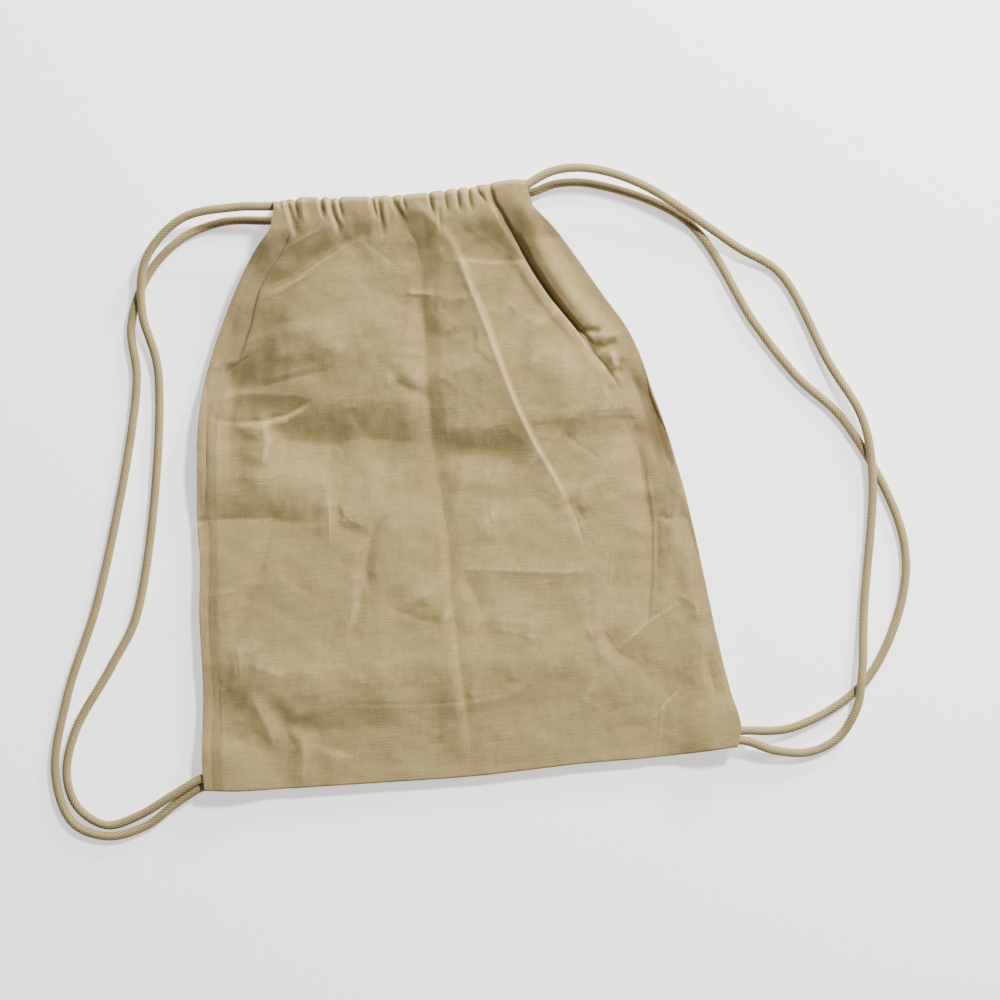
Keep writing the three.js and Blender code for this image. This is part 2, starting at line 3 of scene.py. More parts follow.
import bpy
import numpy as np
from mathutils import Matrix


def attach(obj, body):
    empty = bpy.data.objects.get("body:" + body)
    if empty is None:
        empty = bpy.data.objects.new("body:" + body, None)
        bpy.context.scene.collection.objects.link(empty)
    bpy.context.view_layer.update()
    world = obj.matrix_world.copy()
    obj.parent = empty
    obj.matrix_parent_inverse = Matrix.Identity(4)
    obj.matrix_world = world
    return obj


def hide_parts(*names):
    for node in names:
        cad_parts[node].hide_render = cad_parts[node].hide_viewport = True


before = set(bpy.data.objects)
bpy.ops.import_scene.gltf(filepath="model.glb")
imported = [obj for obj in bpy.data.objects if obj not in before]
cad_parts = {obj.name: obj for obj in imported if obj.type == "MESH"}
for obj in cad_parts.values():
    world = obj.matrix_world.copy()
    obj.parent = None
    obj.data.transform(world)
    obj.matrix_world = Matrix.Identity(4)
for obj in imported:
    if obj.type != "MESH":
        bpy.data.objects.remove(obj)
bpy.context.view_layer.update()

# Lengths are written in millimetres and turned into metres where a mesh is made. x runs across
# the bag and up from its bottom edge, as in the part's own tables.
metre = 0.001
bagHeight = 420


# Camera and stage

view = {"centre": (37.1, -17.5), "width": 706, "height": 2200, "turn": 5.5, "level": 10}
lens = bpy.data.cameras.new("camera")
lens.sensor_fit = "HORIZONTAL"
lens.angle = 2 * math.atan(view["width"] / 2 / (view["height"] - view["level"]))
camera = bpy.data.objects.new("camera", lens)
camera.location = (view["centre"][0] * metre, view["centre"][1] * metre, view["height"] * metre)
camera.rotation_euler = (0, 0, -math.radians(view["turn"]))
bpy.context.collection.objects.link(camera)
bpy.context.scene.camera = camera
print("camera made")


# Numbers and tables

def mix(a, b, t):
    return a + (b - a) * t


# From 0 to 1 as t does, and level at both ends
def smooth(t):
    t = np.clip(t, 0, 1)
    return t * t * (3 - 2 * t)


# 1 at no distance, falling to 0.37 at the half width
def bell(distance, half):
    return np.exp(-((distance / half) ** 2))


# A smooth curve through the rows of a table: cubic Hermite, slopes from the rows on both sides.
def readTable(keys, values, at):
    keys = np.asarray(keys, float)
    values = np.asarray(values, float)
    n = len(keys)
    row = np.clip(np.searchsorted(keys, at, side="left") - 1, 0, n - 2)
    before = np.maximum(np.arange(n) - 1, 0)
    after = np.minimum(np.arange(n) + 1, n - 1)
    slopes = (values[after] - values[before]) / (keys[after] - keys[before])
    span = keys[row + 1] - keys[row]
    t = np.clip((at - keys[row]) / span, 0, 1)
    bend = t * (1 - t) * span
    line = mix(values[row], values[row + 1], smooth(t))
    return line + bend * ((1 - t) * slopes[row] - t * slopes[row + 1])


# Soft uneven height: a sum of sine waves in seeded directions, each with its own phase.
def ripples(x, y, seed, shortest, longest, count):
    dice = np.random.default_rng(seed)
    total = np.zeros_like(x)
    for _ in range(count):
        length = shortest * (longest / shortest) ** dice.random()
        angle = dice.random() * 2 * math.pi
        phase = dice.random() * 2 * math.pi
        along = x * math.cos(angle) + y * math.sin(angle)
        total += np.sin(2 * math.pi * along / length + phase)
    return total / math.sqrt(count)


# Meshes

# Vertices and uv in millimetres. shades are values at the vertices, which the materials read.
def makeObject(name, vertices, faces, uv=None, shades=None):
    mesh = bpy.data.meshes.new(name)
    mesh.from_pydata((vertices * metre).tolist(), [], faces)
    mesh.polygons.foreach_set("use_smooth", np.ones(len(faces), bool))
    if uv is not None:
        corners = np.empty(len(mesh.loops), np.int32)
        mesh.loops.foreach_get("vertex_index", corners)
        uvLayer = mesh.uv_layers.new(name="cloth")
        uvLayer.data.foreach_set("uv", (uv[corners] * metre).astype(np.float32).ravel())
    for key, values in (shades or {}).items():
        values = np.ascontiguousarray(values, np.float32)
        mesh.attributes.new(key, "FLOAT", "POINT").data.foreach_set("value", values)
    piece = bpy.data.objects.new(name, mesh)
    bpy.context.collection.objects.link(piece)
    return piece


# Mean over a square of the grid, 2 * half + 1 cells wide
def blurGrid(values, half):
    for axis in (0, 1):
        padded = np.concatenate([np.repeat(np.take(values, [0], axis), half + 1, axis), values,
                                 np.repeat(np.take(values, [-1], axis), half, axis)], axis)
        sums = np.cumsum(padded, axis)
        count = values.shape[axis]
        values = (np.take(sums, range(2 * half + 1, 2 * half + 1 + count), axis)
                  - np.take(sums, range(count), axis)) / (2 * half + 1)
    return values


coarse = 3  # cells of a sheet's outside along one cell of its inside
# painted shading: squares over which the cloth's height is averaged; where a point lies under that
# mean the materials paint shade
paintedShadingSquares = [(1, 3.6), (5, 0.24)]  # half width of the square that is averaged, and its weight


# An open grid of points becomes a closed sheet: half the thickness to each side of it along its
# normals, and a rim along every free edge. The inside is a coarser grid, and keeps clear of the
# outside's sharp valleys. keep marks the inside's cells that are cloth, and side is 1 for a
# sheet that is seen from above and -1 for one that is seen from below.
def sheetObject(name, side, points, uv, thickness, keep, tint):
    rows, columns = points.shape[:2]
    down = np.gradient(points, axis=0)
    beside = np.gradient(points, axis=1)
    normals = np.cross(beside, down)
    normals /= np.maximum(np.linalg.norm(normals, axis=2, keepdims=True), 1e-9)
    outside = points + normals * thickness / 2
    index = np.arange(rows * columns).reshape(rows, columns)
    cells = np.stack([index[:-1, :-1], index[:-1, 1:], index[1:, 1:], index[1:, :-1]], axis=-1)
    fineKeep = np.repeat(np.repeat(keep, coarse, axis=0), coarse, axis=1)
    height = points[..., 2]
    reached = height * side
    for shift in range(-coarse, coarse + 1):
        moved = np.roll(height, shift, axis=1) * side
        reached = np.minimum(reached, np.where(np.abs(moved - reached) < 14, moved, reached) + 0.8)
    inner = points - normals * thickness / 2
    inner[..., 2] += np.minimum(height * side, reached) * side - height
    inner = inner[::coarse, ::coarse]
    low = np.arange(inner.shape[0] * inner.shape[1]).reshape(inner.shape[:2]) + rows * columns
    lowCells = np.stack([low[:-1, :-1], low[1:, :-1], low[1:, 1:], low[:-1, 1:]], axis=-1)[keep]
    faces = cells[fineKeep].tolist() + lowCells.tolist()
    missing = np.pad(~keep, 1, constant_values=True)
    for r, c in np.argwhere(keep):
        (first, second), (fourth, third) = low[r:r + 2, c:c + 2]  # the cell's corners, clockwise
        fine = index[coarse * r:coarse * (r + 1) + 1, coarse * c:coarse * (c + 1) + 1]
        rims = [(r, c + 1, first, second, fine[0, ::-1]), (r + 2, c + 1, third, fourth, fine[-1]),
                (r + 1, c, fourth, first, fine[:, 0]),
                (r + 1, c + 2, second, third, fine[::-1, -1])]
        faces += [[start, end, *edge] for i, j, start, end, edge in rims if missing[i, j]]
    vertices = np.concatenate([outside.reshape(-1, 3), inner.reshape(-1, 3)])
    both = np.concatenate([uv.reshape(-1, 2), uv[::coarse, ::coarse].reshape(-1, 2)])
    # above 0 where a point lies under the mean of those around it, and else below 0. The materials
    # paint shade and a glow where it is high and a highlight where it is low.
    paintedShading = sum((blurGrid(height, half) - height) * share for half, share in paintedShadingSquares)
    paintedShading = np.where(np.abs(np.gradient(points[..., 1], axis=0)) > 0.4, paintedShading * side, 0)
    used = np.zeros(len(vertices), bool)
    used[np.concatenate([np.asarray(face) for face in faces])] = True
    slots = np.cumsum(used) - 1
    faces = [slots[face].tolist() for face in faces]
    shades = {"paintedShading": paintedShading, "tint": tint}
    shades = {key: np.concatenate([a.ravel(), a[::coarse, ::coarse].ravel()])[used]
              for key, a in shades.items()}
    return makeObject(name, vertices[used], faces, both[used], shades)


# Cords

# Centripetal Catmull-Rom curve through the points, then cut into equal steps of its length.
def smoothRoute(points, step):
    points = np.asarray(points, float)
    ends = np.vstack([2 * points[0] - points[1], points, 2 * points[-1] - points[-2]])
    p0, p1, p2, p3 = ends[:-3], ends[1:-2], ends[2:-1], ends[3:]
    d0, d1, d2 = (np.sqrt(np.linalg.norm(b - a, axis=1))[:, None]
                  for a, b in ((p0, p1), (p1, p2), (p2, p3)))
    slopeIn = ((p1 - p0) / d0 - (p2 - p0) / (d0 + d1) + (p2 - p1) / d1) * d1
    slopeOut = ((p2 - p1) / d1 - (p3 - p1) / (d1 + d2) + (p3 - p2) / d2) * d1
    t = np.linspace(0, 1, 40, endpoint=False)[None, :, None]
    p1, p2, slopeIn, slopeOut = (a[:, None, :] for a in (p1, p2, slopeIn, slopeOut))
    curve = ((2 * t**3 - 3 * t**2 + 1) * p1 + (t**3 - 2 * t**2 + t) * slopeIn
             + (3 * t**2 - 2 * t**3) * p2 + (t**3 - t**2) * slopeOut)
    curve = np.vstack([curve.reshape(-1, 3), points[-1]])
    length = np.concatenate([[0], np.cumsum(np.linalg.norm(np.diff(curve, axis=0), axis=1))])
    even = np.linspace(0, length[-1], int(length[-1] / step) + 1)
    return np.stack([np.interp(even, length, curve[:, i]) for i in range(3)], axis=1), length[-1]


# Side directions along a route that turn as little as they can.
def turnLeast(route):
    tangents = np.gradient(route, axis=0)
    tangents /= np.linalg.norm(tangents, axis=1, keepdims=True)
    sides = np.empty_like(tangents)
    side = np.cross(tangents[0], (0, 0, 1))
    for i, tangent in enumerate(tangents):
        side = side - tangent * (side @ tangent)
        side = side / np.linalg.norm(side)
        sides[i] = side
    return sides, np.cross(tangents, sides)


# A braid: strands wind both ways round the cord. Ridges lie where a or b is a whole number, and
# the product of both cosines says which of two crossing strands is on top and which one dips.
def braidObject(name, form):
    points = [(x, up - bagHeight / 2, z) for x, up, z in form["route"]]
    route, length = smoothRoute(points, form["step"])
    sides, lifts = turnLeast(route)
    around = np.arange(form["around"]) / form["around"]
    along = np.arange(len(route)) * length / (len(route) - 1)
    turn, run = np.meshgrid(around, along)
    a = form["strands"] * turn + run / form["lead"]
    b = form["strands"] * turn - run / form["lead"]
    over = np.cos(math.pi * a) * np.cos(math.pi * b)
    dip = form["dip"]
    ridge = np.maximum(np.abs(np.cos(math.pi * a)) * (1 - dip + dip * over),
                       np.abs(np.cos(math.pi * b)) * (1 - dip - dip * over))
    radius = form["diameter"] / 2 - form["relief"] * (1 - ridge)
    angle = 2 * math.pi * turn
    ring = (np.cos(angle) * radius)[..., None] * sides[:, None, :]
    ring = ring + (np.sin(angle) * radius)[..., None] * lifts[:, None, :]
    vertices = (route[:, None, :] + ring).reshape(-1, 3)
    n = form["around"]
    index = np.arange(len(route) * n).reshape(len(route), n)
    beside = np.roll(index, -1, axis=1)
    quads = np.stack([index[:-1], beside[:-1], beside[1:], index[1:]], axis=-1).reshape(-1, 4)
    first = [[index[0, 0], index[0, i + 2], index[0, i + 1], index[0, i]]
             for i in range(1, n - 2, 2)]
    last = [[index[-1, 0], index[-1, i], index[-1, i + 1], index[-1, i + 2]]
            for i in range(1, n - 2, 2)]
    quads = np.concatenate([quads, first, last])
    uv = np.stack([run, turn * math.pi * form["diameter"]], axis=-1).reshape(-1, 2)
    cord = makeObject(name, vertices, quads.tolist(), uv, {"ridge": ridge.ravel()})
    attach(cord, "root")
    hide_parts(form["node"])
    print(name, "made,", round(length), "mm long")
    return cord


braid = {"diameter": 6.4, "strands": 7, "lead": 2.8, "relief": 0.5, "dip": 0.28, "step": 0.72,
         "around": 40}
leftCordForm = {**braid, "node": "cord_left", "route": [
    [-177, 17.6, 9.8], [-191, 17, 9.6], [-214, 6.5, 8.2], [-238, -5, 4.8], [-262, -10, 3.35],
    [-281, 4, 3.35], [-287, 27, 3.35], [-278, 58, 3.35], [-247, 103, 3.35], [-226, 138, 3.35],
    [-195, 304, 4.2], [-202, 350, 7.5], [-195, 386, 12], [-167, 411, 17.8], [-130, 415, 22],
    [-101, 412.9, 23.1], [-30, 407.6, 23.1], [14, 406.4, 23.1], [44, 408, 23.1], [50, 408.4, 23],
    [56.4, 407.4, 20.6], [59, 405.3, 14.6], [56.4, 403.3, 8.6], [50, 402.4, 6.2],
    [44, 401.8, 6.1], [14, 399.6, 6.1], [-30, 400.9, 6.1], [-75, 403.6, 6.1], [-91, 403.4, 6.1],
    [-108, 405, 6], [-140, 407, 4.6], [-172, 397, 3.4], [-197, 373, 3.35], [-211, 340, 3.35],
    [-211, 300, 3.35], [-252, 152, 3.35], [-281, 84, 3.35], [-295, 29, 3.35], [-286, -6, 3.35],
    [-262, -18, 3.35], [-234, -13, 3.6], [-212, 0.5, 5], [-191, 10.8, 7.1], [-177, 11.4, 7.1],
]}
rightCordForm = {**braid, "node": "cord_right", "route": [
    [177, 7.5, 11.5], [192, 7, 11.2], [214, -2.5, 7.6], [238, -6, 4.4], [259, 2, 4.4],
    [274, 22, 8.4], [280, 47, 9.6], [286, 90, 4.2], [301, 186, 6.8], [297, 226, 10.1],
    [278, 267, 5.4], [250, 333, 3.6], [222, 354, 6.6], [158, 404, 15.6], [122, 418.5, 19.8],
    [97, 419, 22.1], [78, 411.2, 23.1], [66, 403.4, 23.1], [58, 401.3, 23.1], [50, 401.1, 23.1],
    [14, 399.6, 23.1], [-30, 400.8, 23.1], [-79, 404.3, 23.1], [-85, 404.7, 23],
    [-91.4, 405.6, 20.6], [-94, 407.9, 14.6], [-91.4, 409.9, 8.6], [-85, 410.9, 6.2],
    [-79, 410.9, 6.1], [-30, 407.6, 6.1], [14, 406.4, 6.1], [57, 409.8, 6.1], [77, 406.4, 6.1],
    [99, 411.4, 5.2], [126, 408.3, 3.8], [188, 376, 3.35], [229, 299, 3.35], [255, 259, 3.35],
    [285, 225, 3.35], [318, 143, 3.35], [314, 96, 3.35], [281, 39, 3.35], [228, 12.5, 5.4],
    [192, 14, 11.2], [177, 14.5, 11.5],
]}
leftCord = braidObject("left_cord", leftCordForm)
rightCord = braidObject("right_cord", rightCordForm)


# Form of the bag, as in the part

cloth = {"thickness": 1.2, "pitch": 1.85, "cutWidth": 382, "cutLength": 445,
         "seamBand": 7, "seamGroove": 0.35, "seamEndUp": 374, "loftReach": 58, "curlReach": 24,
         "steepness": 1.3, "bottomReach": 80, "sagUp": 300, "spreadUp": 340,
         "stitchUp": 398, "stitchLift": 1.5, "hemDepth": 21, "hemLift": 2.4, "foldReach": 4,
         "wallRise": 4, "tuck": 1.5, "mouthLeft": -101, "mouthRight": 76.5,
         "innerLeft": -84, "innerRight": 49}
layer = {"backOuter": 0.6, "backInner": 10.4, "frontInner": 18.8, "frontOuter": 27.3}
sections = {
    "up": [0, 15, 42, 85, 130, 170, 200, 230, 257, 283, 305, 331, 358, 381, 398],
    "left": [-190, -190, -188, -184, -182, -178, -177, -174, -171, -166, -159, -148, -134, -120,
             -104.5],
    "leftFold": [-176, -176, -174, -171, -168, -165, -163, -160, -157, -151, -138, -126, -116,
                 -98, -88],
    "leftMid": [-86, -86, -86, -86, -86, -85, -83, -83, -84, -84, -82, -75, -66, -60, -57],
    "centre": [0, 0, 0, -2, -3, -1, -4, -5, -5, -5, -4, -3, -2, 2, 5],
    "ridge": [95, 95, 95, 94, 93, 89, 79, 65, 55, 47, 41, 34, 26, 19, 17],
    "slit": [150, 149, 146, 141, 142, 145, 145, 139, 130, 117.5, 104, 87, 73, 64.5, 58],
    "slitHalf": [9, 9, 9, 9, 9, 8, 7, 6, 5, 5, 5, 5, 5, 4, 4],
    "right": [187, 191, 186, 180, 175, 170, 165, 159, 152, 146, 138, 123, 108, 94, 79.5],
    "seam": [8, 8, 7.5, 7, 7, 7, 7, 7, 7.5, 8, 8.5, 10, 13.5, 17, 18],
    "level": [9, 10, 11.5, 12.5, 12.5, 12, 12, 12.5, 13, 13.5, 14.5, 16.9, 21.6, 27.2, 28.8],
}
mouthEdge = {"x": [-101, -83, -62, -40, -20, 0, 12, 45, 65, 76.5],
             "up": [416.5, 417.2, 415.4, 413.8, 412.6, 411.8, 411.7, 413.8, 415.4, 414.6]}
bottomEdge = {"x": [-191, -165, -120, -60, 0, 75, 130, 191],
              "rise": [8.5, 5.5, 3.6, 1.6, 0, 1.5, 1, 3.5]}
pockets = [{"x": -184, "up": 14, "opening": 11.4, "middle": 8.3},
           {"x": 186, "up": 11, "opening": 9.4, "middle": 11.5}]
pocketReach = {"widen": 1.15, "far": 44, "fade": 30}


# A column of the sections at any height
def across(name, up):
    return readTable(sections["up"], sections[name], up)


# The mouth's edge, and the stitching under it
def topAt(x):
    return readTable(mouthEdge["x"], mouthEdge["up"], x)


def stitchAt(x):
    return topAt(x) - cloth["hemDepth"] + cloth["stitchLift"]


# 0 on the seam's band, then a quarter of a sine wave up to 1 at the reach
def rise(distance, reach):
    t = np.clip((distance - cloth["seamBand"]) / reach, 0, 1)
    return np.sin(t * math.pi / 2) ** cloth["steepness"]


# 0 where the seams hold both panels together, 1 at the stitching, where they stand apart
def parted(up):
    return smooth((up - cloth["seamEndUp"]) / (cloth["stitchUp"] - cloth["seamEndUp"]))


# 0 at both sides and the bottom, 1 farther in than the reach
def inside(x, up, reach):
    return (rise(x - across("left", up), reach) * rise(across("right", up) - x, reach)
            * rise(up, reach))


# Around each corner where the cords leave, both panels make room for them
def pocketWeight(pocket, x, up):
    away = np.hypot((x - pocket["x"]) / pocketReach["widen"], up - pocket["up"])
    return smooth((pocketReach["far"] - away) / pocketReach["fade"])


# Guide columns of the front: share of the cut's width, and where each runs down the bag.
def frontGuides(up):
    left, right, slit, half = (across(n, up) for n in ("left", "right", "slit", "slitHalf"))
    band = cloth["seamBand"]
    shares = np.array([0, 1, 4, 10, 16, 22, 27, 28, 29, 31, 32]) / 32
    lines = [left, left + band, across("leftFold", up), across("leftMid", up),
             across("centre", up), across("ridge", up), slit - half, slit, slit + half,
             right - band, right]
    return shares, np.stack(lines, axis=-1)


# The same for the back, which has a guide at the end of its curl on both sides
def backGuides(up):
    left, right, band = across("left", up), across("right", up), cloth["seamBand"]
    curl = band + cloth["curlReach"]
    shares = np.array([0, 1, 4, 12, 20, 23, 24]) / 24
    lines = [left, left + band, left + curl, across("centre", up), right - curl, right - band,
             right]
    return shares, np.stack(lines, axis=-1)


# x of every column in every row: between the guides in the body, evenly spread at the mouth
def columnX(guides, u, up):
    shares, lines = guides(up)
    after = np.clip(np.searchsorted(shares, u, side="left"), 1, len(shares) - 1)
    t = (u - shares[after - 1]) / (shares[after] - shares[after - 1])
    inBody = mix(lines[:, after - 1], lines[:, after], t[None, :])
    spread = (up - cloth["spreadUp"]) / (cloth["stitchUp"] - cloth["spreadUp"])
    atMouth = mix(lines[:, :1], lines[:, -1:], u[None, :])
    return mix(inBody, atMouth, smooth(spread)[:, None])


# The bottom edge curves, and the upper rows follow the mouth's edge
def bodyUp(x, up):
    stitchUp, sagUp = cloth["stitchUp"], cloth["sagUp"]
    low = readTable(bottomEdge["x"], bottomEdge["rise"], x)
    low = low * (1 - smooth(up / cloth["bottomReach"]))
    return up + low + (stitchAt(x) - stitchUp) * smooth((up - sagUp) / (stitchUp - sagUp))


